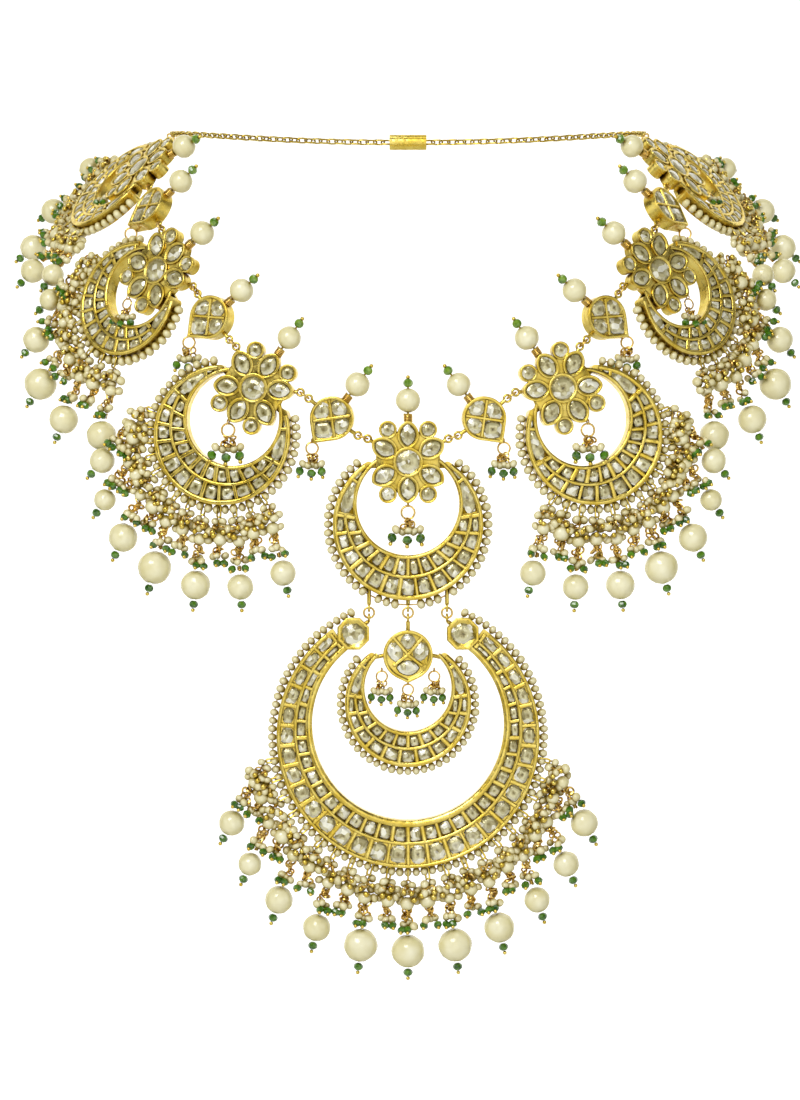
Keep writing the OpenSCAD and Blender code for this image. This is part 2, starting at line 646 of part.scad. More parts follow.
// The chain behind the neck, from the last flower's eyelet to the clasp
last = len(TURNS) - 1;
chain_start = link_start(last) + 2 * link_r * unit(turned([-1, 0, 0], last));
chain_dir = unit(turned([-1, 0, 0], last));
chain_from = chain_start + (eyelet_r - wire_r) * chain_dir;
chain_to = nape - [clasp_len / 2 + 0.1, 0, 0];
chain_bow = 34;
CHAIN_CORNERS = [chain_from, chain_from + chain_bow * unit([0, 1, 0.12]), chain_to - [1.1 * chain_bow, 0, 0], chain_to];
CHAIN_RINGS = 20;
CHAIN_SIDES = 8;
function bezier(p, t) = pow(1 - t, 3) * p[0] + 3 * t * pow(1 - t, 2) * p[1]
    + 3 * t * t * (1 - t) * p[2] + pow(t, 3) * p[3];
function bezier_dir(p, t) = unit(pow(1 - t, 2) * (p[1] - p[0]) + 2 * t * (1 - t) * (p[2] - p[1])
    + t * t * (p[3] - p[2]));
module chain_half() color(gold) from_nape() {
    points = [for (i = [0:CHAIN_RINGS])
        let (t = i / CHAIN_RINGS, d = bezier_dir(CHAIN_CORNERS, t))
        let (a = unit(cross(d, [0, 0, 1])), b = cross(d, a))
        for (k = [0:CHAIN_SIDES - 1])
            bezier(CHAIN_CORNERS, t)
            + chain_w / 2 * (a * cos(360 * k / CHAIN_SIDES) + b * sin(360 * k / CHAIN_SIDES))];
    skin = [for (i = [0:CHAIN_RINGS - 1]) for (k = [0:CHAIN_SIDES - 1])
        let (n = (k + 1) % CHAIN_SIDES, a = CHAIN_SIDES * i, b = a + CHAIN_SIDES)
        each [[a + k, b + k, b + n], [a + k, b + n, a + n]]];
    first = [for (k = [0:CHAIN_SIDES - 1]) k];
    final = [for (k = [CHAIN_SIDES - 1:-1:0]) CHAIN_SIDES * CHAIN_RINGS + k];
    polyhedron(points, concat(skin, [first, final]));
}
module back_chain() {
    chain_half();
    mirror([1, 0, 0]) chain_half();
}
module clasp() color(gold) translate([-clasp_len / 2, 0, 0]) rotate([0, 90, 0]) cylinder(h = clasp_len, r = clasp_w / 2);

// The link between the last flower and the chain
module chain_link() color(gold) from_nape() {
    g = chain_dir;
    n = unit(cross(cross(g, turned([0, -1, 0], last)), g));
    s = cross(g, n);
    c = link_start(last) + link_r * g;
    multmatrix([[g.x, n.x, s.x, c.x], [g.y, n.y, s.y, c.y], [g.z, n.z, s.z, c.z], [0, 0, 0, 1]])
        rotate_extrude() translate([link_r, 0]) circle(link_wire_r, $fn = 24);
}
module half_links() {
    for (i = [0:last - 1]) collar_link(i);
    chain_link();
}
module collar_links() {
    half_links();
    mirror([1, 0, 0]) half_links();
}

// The large crescent with its octagon ends and swing eyelets
module octagon_plate() for (side = [-1, 1]) translate([side * octagon_x, octagon_z])
    circle(octagon_w / 2 / cos(22.5), $fn = 8);
module pendant_outline() {
    difference() {
        circle(pendant_r, $fn = 128);
        translate([0, pendant_up]) circle(pendant_in_r, $fn = 128);
        top_wedge(pendant_gap, 2 * pendant_r);
    }
    octagon_plate();
}
module pendant_inner_row() difference() {
    translate([0, pendant_bar_up]) circle(pendant_bar_r - row_bar / 2, $fn = 128);
    translate([0, pendant_up]) circle(pendant_in_r + setting_rim, $fn = 128);
    top_wedge(pendant_row_from, 2 * pendant_r);
}
module pendant_crescent() color(gold) {
    at_pendant() {
        plate(crescent_front + pocket_depth, crescent_t / 2) pendant_outline();
        plate(crescent_front, crescent_front + pocket_depth) difference() {
            pendant_outline();
            pockets(PENDANT_ROW);
            pockets(OCTAGON_STONES);
            pendant_inner_row();
        }
    }
    from_nape() for (side = [-1, 1]) {
        swing_eyelet(side * side_link_x);
        bar([side * (side_link_x + 0.2), -hinge_drop - eyelet_r], [side * octagon_x, pendant_z + octagon_z], stem_r);
    }
}
module pendant_stones() at_pendant() {
    stones(PENDANT_ROW, crescent_front);
    stones(OCTAGON_STONES, crescent_front);
}
module pendant_rim_pearls() at_pendant() pearl_string(pendant_r, pendant_string_from);
straight_down = [0, -1];
module pendant_fringe() at_pendant() fringe(PENDANT_FRINGE, PENDANT_DROP_SHARES, straight_down);
module pendant_drops() at_pendant() drops(PENDANT_FRINGE, PENDANT_DROP_SHARES, straight_down);

// The hanging leaf with the small crescent joined to its sides
inner_tip_out = inner_crescent_r - 1.5;
module inner_drop_setting() color(gold) {
    at_drop_leaf() {
        plate(leaf_front + pocket_depth, leaf_t / 2) drop_outline(drop_leaf_r, drop_leaf_point);
        plate(leaf_front, leaf_front + pocket_depth) difference() {
            drop_outline(drop_leaf_r, drop_leaf_point);
            pockets(DROP_LEAF_STONES);
        }
        translate([0, 0, -inner_drop_to_crescent])
            crescent_plate(inner_crescent_r, inner_belly, inner_thin, inner_gap, leaf_front, leaf_t / 2);
        for (side = [-1, 1])
            bar([side * (drop_leaf_r - setting_rim / 2), 0],
                [side * inner_tip_out * sin(inner_gap), inner_tip_out * cos(inner_gap) - inner_drop_to_crescent],
                stem_r);
    }
    from_nape() {
        swing_eyelet(0);
        bar([0, drop_leaf_z + drop_leaf_r - stem_r], [0, -hinge_drop - eyelet_r], stem_r);
    }
}
module inner_drop_stones() at_drop_leaf() stones(DROP_LEAF_STONES, leaf_front);
module inner_drop_rim_pearls() at_drop_leaf() translate([0, 0, -inner_drop_to_crescent])
    pearl_string(inner_crescent_r, inner_string_from);
inner_bunch_drop = 5;
module inner_drop_bunches() at_drop_leaf()
    translate([0, 0, -drop_leaf_point - bunch_top]) bunch(inner_bunch_drop);

module flower_stones() {
    at_left(0) stones(FLOWER_STONES, flower_front);
    for (i = [2, 4, 6]) {
        at_left(i) stones(FLOWER_STONES, flower_front);
        at_right(i) stones(FLOWER_STONES, flower_front);
    }
}
module connector_stones() for (i = [1, 3, 5]) {
    at_left(i) stones(LEAF_STONES, leaf_front);
    at_right(i) stones(LEAF_STONES, leaf_front);
}
module collar_pearls() {
    at_left(0) collar_pearl(0, flower_mid);
    for (i = [1:last]) {
        at_left(i) collar_pearl(i, is_flower(i) ? flower_mid : 0);
        at_right(i) collar_pearl(i, is_flower(i) ? flower_mid : 0);
    }
}
module flower_bunches() {
    at_left(0) flower_bunch(0);
    for (k = [1:3]) {
        at_left(2 * k) flower_bunch(k);
        at_right(2 * k) flower_bunch(k);
    }
}
module pendant_links() for (x = [-side_link_x, 0, side_link_x]) pendant_link(x);

from_nape() crescent_centre();
at_left(2) crescent(1);  // crescent_left_1
at_left(4) crescent(2);  // crescent_left_2
at_left(6) crescent(3);  // crescent_left_3
at_right(2) crescent(1);  // crescent_right_1
at_right(4) crescent(2);  // crescent_right_2
at_right(6) crescent(3);  // crescent_right_3
at_left(0) flower(0);  // flower_centre
at_left(2) flower(2);  // flower_left_1
at_left(4) flower(4);  // flower_left_2
at_left(6) flower(6);  // flower_left_3
at_right(2) flower(2);  // flower_right_1
at_right(4) flower(4);  // flower_right_2
at_right(6) flower(6);  // flower_right_3
flower_stones();
from_nape() rim_pearls_centre();
at_left(2) rim_pearls(1);  // rim_pearls_left_1
at_left(4) rim_pearls(2);  // rim_pearls_left_2
at_left(6) rim_pearls(3);  // rim_pearls_left_3
at_right(2) rim_pearls(1);  // rim_pearls_right_1
at_right(4) rim_pearls(2);  // rim_pearls_right_2
at_right(6) rim_pearls(3);  // rim_pearls_right_3
at_left(2) unit_fringe(1);  // fringe_left_1
at_left(4) unit_fringe(2);  // fringe_left_2
at_left(6) unit_fringe(3);  // fringe_left_3
at_right(2) unit_fringe(1);  // fringe_right_1
at_right(4) unit_fringe(2);  // fringe_right_2
at_right(6) unit_fringe(3);  // fringe_right_3
at_left(2) unit_drops(1);  // drops_left_1
at_left(4) unit_drops(2);  // drops_left_2
at_left(6) unit_drops(3);  // drops_left_3
at_right(2) unit_drops(1);  // drops_right_1
at_right(4) unit_drops(2);  // drops_right_2
at_right(6) unit_drops(3);  // drops_right_3
flower_bunches();
at_left(1) connector(1);  // connector_left_1
at_left(3) connector(3);  // connector_left_2
at_left(5) connector(5);  // connector_left_3
at_right(1) connector(1);  // connector_right_1
at_right(3) connector(3);  // connector_right_2
at_right(5) connector(5);  // connector_right_3
connector_stones();
collar_pearls();
collar_links();
pendant_links();
back_chain();
clasp();
pendant_crescent();
pendant_stones();
pendant_rim_pearls();
pendant_fringe();
pendant_drops();
inner_drop_setting();
inner_drop_stones();
inner_drop_rim_pearls();
inner_drop_bunches();
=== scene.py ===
"""Dresses the kundan necklace: cups and stones, rims, seed pearls, fringes, bead bunches and chain.

Everything is modelled in millimetres, with the same driving sizes as the solids, and each finished
piece is then brought to metres. Flat work is modelled lying down with its face up, and is stood up
with its face to the front when it is set in place.
"""
import json
import math
import random

import bpy
from mathutils import Matrix, Vector

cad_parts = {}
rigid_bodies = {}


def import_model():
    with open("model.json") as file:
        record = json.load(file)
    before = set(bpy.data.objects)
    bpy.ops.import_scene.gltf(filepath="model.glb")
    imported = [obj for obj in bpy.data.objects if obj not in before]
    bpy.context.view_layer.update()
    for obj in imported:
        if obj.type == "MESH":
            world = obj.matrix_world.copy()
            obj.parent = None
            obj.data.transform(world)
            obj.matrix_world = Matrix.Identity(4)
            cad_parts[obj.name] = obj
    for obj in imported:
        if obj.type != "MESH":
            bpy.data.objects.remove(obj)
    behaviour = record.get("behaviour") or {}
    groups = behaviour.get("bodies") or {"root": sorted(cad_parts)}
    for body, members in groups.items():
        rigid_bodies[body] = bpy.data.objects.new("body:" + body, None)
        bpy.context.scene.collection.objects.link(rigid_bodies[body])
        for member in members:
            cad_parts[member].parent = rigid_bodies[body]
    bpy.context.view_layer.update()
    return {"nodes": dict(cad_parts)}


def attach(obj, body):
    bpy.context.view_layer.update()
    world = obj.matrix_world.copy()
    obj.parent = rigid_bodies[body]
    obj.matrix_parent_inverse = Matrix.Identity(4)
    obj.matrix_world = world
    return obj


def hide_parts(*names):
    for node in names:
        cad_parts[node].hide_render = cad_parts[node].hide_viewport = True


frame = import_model()

# Driving sizes in millimetres, and angles in degrees
NAPE = Vector((0, 122, 104))
FLOWER_REACH = 12
FLOWER_FRONT = -2.5
FLOWER_MID = -0.8
PETAL_LEN = 8.4
PETAL_CUP_W = 6.3
PETAL_REACH = FLOWER_REACH - PETAL_LEN / 2
PETAL_GEM = (6.8, 4.6)
DOT_REACH = 11
DOT_CUP_W = 5.3
DOT_GEM_W = 3.8
EYE_CUP_W = 8.7
EYE_GEM_W = 7.2
LEAF_R = 6.4
LEAF_CORNER = 9
LEAF_FRONT = -1.9
CRESCENT_FRONT = -2.1
CRESCENT_THIN = 0.9
TIP_SIDE = 11.4
TIP_DROP = 1
TIP_HALF_W = 1.15
RIM = 1.2
BAR_FACE = 1.15
CELL_WALL = 1.2
ROW_SPLIT = 0.52
DOUBLE_ROW_TO = 98
STRAND_HEAD = 3.7
STRAND_SHORT = 6.5
SEED_STEP = 1.72
COLLAR_SEED_R = 1.48
PENDANT_SEED_R = 1.38
INNER_SEED_R = 1.36
BUNCH_BEAD = 1.3
COLLAR_PEARL_R = 3.7
DROP_PEARL_R = 5
GREEN_R = 1.25
GREEN_SIZE = 1.4
BALL_R = 0.6
EYELET_R = 1
WIRE_R = 0.35
LINK_R = 1.5
HINGE_DROP = 45.2
SIDE_LINK_X = 11.3
PENDANT_Z = -HINGE_DROP - 34.3
PENDANT_R = 38.1
PENDANT_BELLY = 13.8
PENDANT_THIN = 6.8
PENDANT_GAP = 35
PENDANT_IN_RIM = 2
OCTAGON_W = 8.7
OCTAGON_AT = 28
OCTAGON_GEM_W = 6.8
PENDANT_RIM_GAP = 23
DROP_LEAF_Z = -HINGE_DROP - 10.8
DROP_LEAF_R = 7.2
DROP_LEAF_POINT = 8
INNER_R = 18.3
INNER_BELLY = 10.2
INNER_THIN = 1.2
INNER_GAP = 38
INNER_RIM_GAP = 46
INNER_DROP = 14
CHAIN_PITCH = 2.55
CHAIN_BOW = 34
CLASP_LEN = 12

# Yaw, lean and roll of each piece of the left half, counted outwards from the middle flower. Odd
# pieces are leaf connectors and even ones are flowers.
TURNS = [(0, 0, 0), (-4, 2, 37), (-10, -1, 35), (-27, -6, 50), (-34, -14, 50), (-51, -29, 42), (-57, -41, 60)]

# Radius and belly of each unit's crescent, and the stones in its outer and inner row
CRESCENTS = [(21.8, 13), (20.4, 12.4), (17.5, 10.8), (17, 10.4)]
ROW_COUNTS = [(13, 12), (12, 11), (11, 10), (10, 9)]
PENDANT_COUNTS = (30, 32)
INNER_COUNTS = (11, 10)

# Size of the bunch under each flower
BUNCH_SIZES = [1.1, 1.1, 0.9, 0.8]

# Strands of each fringe, its first and last angle, how far it hangs and how much it is drawn down
FRINGES = [None, (13, -74, 68, 20.5, 1.4), (9, -82, 44, 20.5, 1.3), (9, -66, 66, 15.5, 0.6)]
PENDANT_FRINGE = (21, -80, 80, 20.5, 1.6)

# Size of each drop pearl, as a share of the largest
DROP_SHARES = [
    None,
    [0.76, 0.66, 0.87, 1, 0.88, 0.78, 0.78],
    [0.7, 0.82, 1, 0.88, 0.9],
    [0.72, 0.82, 0.84, 0.78, 0.7],
]
PENDANT_SHARES = [0.77, 0.7, 0.84, 0.82, 1, 0.98, 1, 0.9, 0.77, 0.77, 0.82]


# Placing
PLAIN = Matrix.Identity(4)
MIRROR = Matrix.Scale(-1, 4, (1, 0, 0))


def turn(degrees, axis):
    return Matrix.Rotation(math.radians(degrees), 4, axis)


def shift(x, y, z):
    return Matrix.Translation((x, y, z))


def sized(x, y, z):
    return Matrix.Diagonal((x, y, z, 1))


def along(direction):
    """Turns +Z to a direction."""
    return direction.to_track_quat("Z", "Y").to_matrix().to_4x4()


def spots(radius, angles):
    """Angles counted from the right, each with its x and z on a circle."""
    return [(a, radius * math.cos(math.radians(a)), radius * math.sin(math.radians(a))) for a in angles]


def radial(degrees):
    """The direction at an angle counted from the lowest point."""
    return Vector((math.sin(math.radians(degrees)), 0, -math.cos(math.radians(degrees))))


STAND = turn(90, "X")
FROM_NAPE = Matrix.Translation(-NAPE)
PETALS = spots(PETAL_REACH, range(30, 360, 60))
DOTS = spots(DOT_REACH, (58, 122, 238, 302))


# Where the pieces of the collar lie
def turning(i):
    yaw, lean, roll = TURNS[i]
    return turn(yaw, "Z") @ turn(lean, "X") @ turn(roll, "Y")


def eyelet(i, side):
    """The middle of a piece's eyelet: side is 1 for its right one and -1 for its left one."""
    if i % 2 == 0:
        out = FLOWER_REACH + EYELET_R + 0.5
        _, x, z = spots(out, [30])[0]
    else:
        x, z = LEAF_R + WIRE_R + EYELET_R + 1.2, 0.5
    return Vector((side * x, 0, z))


def link_direction(i):
    outward = Vector((-1, 0, 0))
    return (turning(i) @ outward + turning(i + 1) @ outward).normalized()


def collar_places():
    places = [Vector((0, 0, 0))]
    for i in range(len(TURNS) - 1):
        link_end = places[i] + turning(i) @ eyelet(i, -1) + 2 * LINK_R * link_direction(i)
        places.append(link_end - turning(i + 1) @ eyelet(i + 1, 1))
    return places


PLACES = collar_places()


def at_unit(i, side):
    """The frame of a collar piece: side is -1 on the left half and 1 on the right half."""
    left = FROM_NAPE @ Matrix.Translation(PLACES[i]) @ turning(i)
    return left if side < 0 else MIRROR @ left


def down_in(i):
    """Straight down, in the plane of a flower unit."""
    level = turning(i)
    x, z = -(level @ Vector((1, 0, 0))).z, -(level @ Vector((0, 0, 1))).z
    return Vector((x, 0, z)).normalized()


def gap_of(k):
    """Half of the opening of a unit's crescent."""
    return math.degrees(math.asin(TIP_SIDE / (CRESCENTS[k][0] - TIP_HALF_W)))


def crescent_drop(k):
    return (CRESCENTS[k][0] - TIP_HALF_W) * math.cos(math.radians(gap_of(k))) + TIP_DROP


def reach_to(r, up, from_bottom):
    """How far a circle lies from the middle of a crescent, when the circle's middle is higher."""
    a = math.radians(from_bottom)
    return -up * math.cos(a) + math.sqrt(r * r - (up * math.sin(a)) ** 2)


# Materials
class Tree:
    """A node tree, with short ways to add a node and to feed its inputs."""

    def __init__(self, tree):
        self.nodes = tree.nodes
        self.links = tree.links

    def feed(self, node, values):
        """Gives each input another node's output, a colour or a number."""
        for label, value in values.items():
            socket = node.inputs[label]
            if isinstance(value, bpy.types.NodeSocket):
                self.links.new(value, socket)
            elif socket.type == "RGBA":
                socket.default_value = (*value, 1)
            else:
                socket.default_value = value

    def add(self, kind, values=None, **settings):
        node = self.nodes.new("ShaderNode" + kind)
        for key, value in settings.items():
            setattr(node, key, value)
        self.feed(node, values or {})
        return node

    def mix(self, factor, first, second):
        sockets = {"Factor": factor, 6: first, 7: second}
        return self.add("Mix", sockets, data_type="RGBA").outputs[2]

    def spread(self, value, low, high, to_low=0, to_high=1):
        ends = {"From Min": low, "From Max": high, "To Min": to_low, "To Max": to_high}
        return self.add("MapRange", {"Value": value, **ends}).outputs["Result"]

    def worked(self, patch_scale, beat_scale, depth):
        values = {"Patch Scale": patch_scale, "Beat Scale": beat_scale, "Depth": depth}
        return self.add("Group", values, node_tree=HAND_WORKED).outputs

    # The share of a surface left out of the painted shade in recesses
    def unshaded_share(self, distance):
        return self.add("Group", {"Distance": distance}, node_tree=PAINTED_SHADE_MASK).outputs["Unshaded"]


class Paint(Tree):
    """The node tree of a new material."""

    def __init__(self, name):
        self.material = bpy.data.materials.new(name)
        self.material.use_nodes = True
        super().__init__(self.material.node_tree)

    def finish(self, values):
        self.feed(self.nodes["Principled BSDF"], values)
        return self.material


def new_group(name, inputs, outputs):
    """A group of nodes, with its inputs' values and its outputs' kinds."""
    group = bpy.data.node_groups.new(name, "ShaderNodeTree")
    for label, value in inputs.items():
        socket = group.interface.new_socket(name=label, in_out="INPUT", socket_type="NodeSocketFloat")
        socket.default_value = value
    for label, kind in outputs.items():
        group.interface.new_socket(name=label, in_out="OUTPUT", socket_type="NodeSocket" + kind)
    return group


def hand_worked_group():
    """Uneven tone and a gently beaten surface, as on metal worked by hand."""
    inputs = {"Patch Scale": 250, "Beat Scale": 900, "Depth": 0.00006}
    group = new_group("hand_worked", inputs, {"Patch": "Float", "Fine": "Float", "Normal": "Vector"})
    tree = Tree(group)
    came_in = tree.nodes.new("NodeGroupInput").outputs
    place = tree.add("TexCoord").outputs["Object"]

    def noise(scale, detail):
        values = {"Vector": place, "Scale": came_in[scale], "Detail": detail}
        return tree.add("TexNoise", values).outputs["Fac"]

    beat = noise("Beat Scale", 2)
    bump = tree.add("Bump", {"Strength": 0.8, "Height": beat, "Distance": came_in["Depth"]})
    goes_out = {"Patch": noise("Patch Scale", 3), "Fine": beat, "Normal": bump.outputs["Normal"]}
    tree.feed(tree.nodes.new("NodeGroupOutput"), goes_out)
    return group


def painted_shade_mask_group():
    """A mask for painted shade: it is 1 in the open and falls to 0 in recesses, where shade is painted in."""
    group = new_group("painted_recess_shade", {"Distance": 0.0015}, {"Unshaded": "Float"})
    tree = Tree(group)
    distance = tree.nodes.new("NodeGroupInput").outputs["Distance"]
    shade = tree.add("AmbientOcclusion", {"Distance": distance}, samples=6)
    tree.feed(tree.nodes.new("NodeGroupOutput"), {"Unshaded": tree.spread(shade.outputs["AO"], 0.36, 0.97)})
    return group


HAND_WORKED = hand_worked_group()
PAINTED_SHADE_MASK = painted_shade_mask_group()


def gold_material(name, bright, deep, painted_recess_shade, depth, rough_low, rough_high):
    paint = Paint(name)
    worked = paint.worked(250, 480, depth)
    tone = paint.mix(paint.spread(worked["Patch"], 0.35, 0.65), bright, deep)
    # Random patches of bright and deep gold, darkened in hollows and between parts to a painted shade colour
    return paint.finish({
        "Base Color": paint.mix(paint.unshaded_share(0.0018), painted_recess_shade, tone),
        "Roughness": paint.spread(worked["Fine"], 0.3, 0.7, rough_low, rough_high),
        "Normal": worked["Normal"],
        "Metallic": 1,
    })


def pearl_material(name, body, shade, rough):
    paint = Paint(name)
    worked = paint.worked(180, 420, 0.00009)
    tone = paint.mix(paint.spread(worked["Patch"], 0.35, 0.7, 0, 0.4), body, shade)
    # Painted shade: the colour leans to the shade colour towards each bead's outline and to a darker painted
    # shade in recesses. Random patches also lean a little to the shade colour.
    facing = paint.add("LayerWeight", {"Blend": 0.5}).outputs["Facing"]
    deep = (shade[0] * 0.5, shade[1] * 0.42, shade[2] * 0.15)
    return paint.finish({
        "Base Color": paint.mix(paint.unshaded_share(0.003), deep, paint.mix(facing, tone, shade)),
        "Roughness": rough,
        "Normal": worked["Normal"],
        "Coat Weight": 0.4,
        "Coat Roughness": 0.12,
    })


def polki_material(name, painted_glint, pale, middle, dark, coat):
    """An uncut stone on foil, with painted light in its colour. Its own map runs from its middle to its edge.
    """
    paint = Paint(name)
    worked = paint.worked(600, 1500, 0.00012)
    own = paint.add("UVMap", uv_map="UVMap").outputs["UV"]
    centred = paint.add("VectorMath", {0: own, 1: (0.5, 0.5, 0)}, operation="SUBTRACT")
    out = paint.add("VectorMath", {0: centred.outputs["Vector"]}, operation="LENGTH")
    terms = {0: worked["Fine"], 1: 0.28, 2: out.outputs["Value"]}
    wobble = paint.add("Math", terms, operation="MULTIPLY_ADD")
    # Dark at the middle as a painted reflection, dark at the edge as painted shade from the setting, and pale
    # between them
    ramp = paint.add("ValToRGB", {"Fac": wobble.outputs["Value"]})
    stops = ramp.color_ramp.elements
    stops[0].position = 0.12
    stops[1].position = 0.66
    for stop in stops:
        stop.color = (*dark, 1)
    for position, colour in ((0.2, middle), (0.34, pale), (0.5, pale), (0.6, middle)):
        stops.new(position).color = (*colour, 1)
    place = paint.add("TexCoord").outputs
    # Random cells painted darker as facet reflections, and some painted with a bright glint
    painted_facet_reflections = paint.add("TexVoronoi", {"Vector": place["Object"], "Scale": 620})
    parts = paint.add("SeparateColor", {"Color": painted_facet_reflections.outputs["Color"]}).outputs
    # Painted light by facing: facets that face up are painted darker, and those that face down are painted
    # lighter
    up = paint.add("SeparateXYZ", {"Vector": place["Normal"]}).outputs["Z"]
    colour = paint.mix(paint.spread(parts["Red"], 0.35, 1, 0, 0.75), ramp.outputs["Color"], middle)
    colour = paint.mix(paint.spread(up, 0.1, 0.6, 0, 0.6), colour, middle)
    colour = paint.mix(paint.spread(up, -0.6, -0.1, 0.75, 0), colour, painted_glint)
    return paint.finish({
        "Base Color": paint.mix(paint.spread(parts["Green"], 0.74, 0.86, 0, 0.8), colour, painted_glint),
        "Normal": worked["Normal"],
        "Roughness": 0.12,
        "Metallic": 0.3,
        "Specular IOR Level": coat * 0.6,
        "Coat Weight": coat,
        "Coat Roughness": 0.04,
    })


def bead_material(name, colour, deep):
    paint = Paint(name)
    worked = paint.worked(500, 1200, 0.00004)
    return paint.finish({
        "Base Color": paint.mix(paint.spread(worked["Patch"], 0.35, 0.65), colour, deep),
        "Normal": worked["Normal"],
        "Roughness": 0.09,
        "Transmission Weight": 0.25,
        "Coat Weight": 0.6,
    })


def stage_material(name, glow):
    paint = Paint(name)
    colour = paint.mix(paint.worked(3, 60, 0.0001)["Patch"], (0.86, 0.86, 0.85), (0.9, 0.9, 0.89))
    return paint.finish({
        "Base Color": colour,
        "Emission Color": colour,
        "Emission Strength": glow,
        "Roughness": 0.9,
    })


# The third colour of each gold is the painted shade in its recesses
GOLD = gold_material(
    "satin_gold", (0.93, 0.74, 0.19), (0.76, 0.54, 0.07), (0.24, 0.14, 0.004), 0.0002, 0.18, 0.38)
WIRE = gold_material(
    "red_gold_wire", (0.94, 0.69, 0.23), (0.78, 0.5, 0.11), (0.42, 0.24, 0.02), 0.00004, 0.2, 0.36)
# The second colour of each pearl is the tone that random patches lean to, and also the painted shade at its
# outline and, darker, in recesses
PEARL = pearl_material("cream_pearl", (0.97, 0.93, 0.66), (0.7, 0.6, 0.18), 0.18)
SEED = pearl_material("seed_pearl", (0.95, 0.9, 0.6), (0.6, 0.48, 0.09), 0.2)
POLKI = polki_material(
    "polki_stone", (0.98, 0.97, 0.82), (0.66, 0.61, 0.33), (0.24, 0.19, 0.05), (0.025, 0.018, 0.001), 0.8)
# Near-black stone colours for the girdle, as painted shade in the gap of the setting
POLKI_PAINTED_SHADE = polki_material(
    "polki_painted_edge_shade", (0.09, 0.065, 0.008), (0.05, 0.036, 0.004), (0.03, 0.02, 0.002), (0.01, 0.007, 0.001), 0.1)
GREEN = bead_material("green_glass", (0.13, 0.33, 0.012), (0.02, 0.1, 0.003))
LIGHT_GREEN = bead_material("light_green_glass", (0.34, 0.56, 0.06), (0.1, 0.26, 0.01))


# Modelling steps
def edit():
    bpy.ops.object.mode_set(mode="EDIT")


def leave_edit():
    bpy.ops.object.mode_set(mode="OBJECT")


def unselect():
    if bpy.context.mode != "OBJECT":
        leave_edit()
    bpy.ops.object.select_all(action="DESELECT")


def pick_all():
    bpy.ops.mesh.select_all(action="SELECT")


def pick(kind, test):
    """Selects the vertices, edges or faces that a test picks, in edit mode."""
    edit()
    bpy.ops.mesh.select_mode(type=kind)
    bpy.ops.mesh.select_all(action="DESELECT")
    leave_edit()
    mesh = bpy.context.active_object.data
    for part in {"VERT": mesh.vertices, "EDGE": mesh.edges, "FACE": mesh.polygons}[kind]:
        part.select = test(part)
    edit()


def pick_top(lowest):
    pick("FACE", lambda face: face.normal.z > 0.9 and face.center.z > lowest)


def stretch(x, y, z):
    bpy.ops.transform.resize(value=(x, y, z), center_override=(0, 0, 0))


def shake(offset, seed, uniform=0.0, normal=0.0):
    bpy.ops.transform.vertex_random(offset=offset, seed=seed, uniform=uniform, normal=normal)


def inset(thickness, depth):
    bpy.ops.mesh.inset(thickness=thickness, depth=depth)


def add_cylinder(vertices, radius, low, high, y=0):
    place = (0, y, (low + high) / 2)
    bpy.ops.mesh.primitive_cylinder_add(vertices=vertices, radius=radius, depth=high - low, location=place)


def add_torus(radius, wire, rings, sides, y=0):
    bpy.ops.mesh.primitive_torus_add(
        major_radius=radius, minor_radius=wire,
        major_segments=rings, minor_segments=sides, location=(0, y, 0))


def soften(width):
    """Rounds the sharp edges of the active piece."""
    rounding = bpy.context.active_object.modifiers.new("rounding", "BEVEL")
    rounding.width = width
    rounding.segments = 2
    rounding.limit_method = "ANGLE"
    rounding.angle_limit = math.radians(40)
    bpy.ops.object.modifier_apply(modifier=rounding.name)


def dressed(name, materials, smooth):
    """Names and shades the active piece. Its faces stay flat when the smooth angle is 0."""
    unselect()
    piece = bpy.context.active_object
    piece.select_set(True)
    piece.name = name
    for material in materials:
        piece.data.materials.append(material)
    if smooth:
        bpy.ops.object.shade_smooth_by_angle(angle=math.radians(smooth))
    else:
        bpy.ops.object.shade_flat()
    piece.data.transform(piece.matrix_basis)
    piece.matrix_basis = PLAIN
    unselect()
    return piece


def lens_prism(vertices, length, width, low, high):
    """A prism whose outline is the overlap of two circles, which is a petal's pointed oval."""
    bow = (length * length + width * width) / (4 * width)
    add_cylinder(vertices, bow, low, high, bow - width / 2)
    bpy.ops.object.transform_apply(location=True)
    edit()
    pick_all()
    bpy.ops.mesh.bisect(plane_co=(0, 0, 0), plane_no=(0, 1, 0), clear_outer=True)
    pick_all()
    bpy.ops.mesh.duplicate()
    stretch(1, -1, 1)
    pick_all()
    bpy.ops.mesh.remove_doubles(threshold=length * 0.06)
    bpy.ops.mesh.normals_make_consistent(inside=False)
    bpy.ops.mesh.dissolve_limited(angle_limit=0.02)
    pick_all()


def upright(edge):
    ends = [bpy.context.active_object.data.vertices[v].co.z for v in edge.vertices]
    return abs(ends[0] - ends[1]) > 0.5


def stone_outline(kind, seed):
    """A flat prism in a unit square, with its top at height 0, in a stone's outline."""
    lens_w = 0.62
    if kind == "cushion":
        bpy.ops.mesh.primitive_cube_add(size=1, location=(0, 0, -0.5))
        pick("EDGE", upright)
        bpy.ops.mesh.bevel(offset=0.24, segments=2, affect="EDGES")
    elif kind == "marquise":
        lens_prism(18, 1, lens_w, -1, 0)
        stretch(1, 1 / lens_w, 1)
    else:
        add_cylinder(12, 0.5, -1, 0)
        edit()
    if kind == "teardrop":
        pick("VERT", lambda vertex: 0.2 < vertex.co.x < 0.49)
        stretch(1, 0.68, 1)
    pick_all()
    shake(0.012 if kind == "marquise" else 0.035, seed, uniform=0.2)


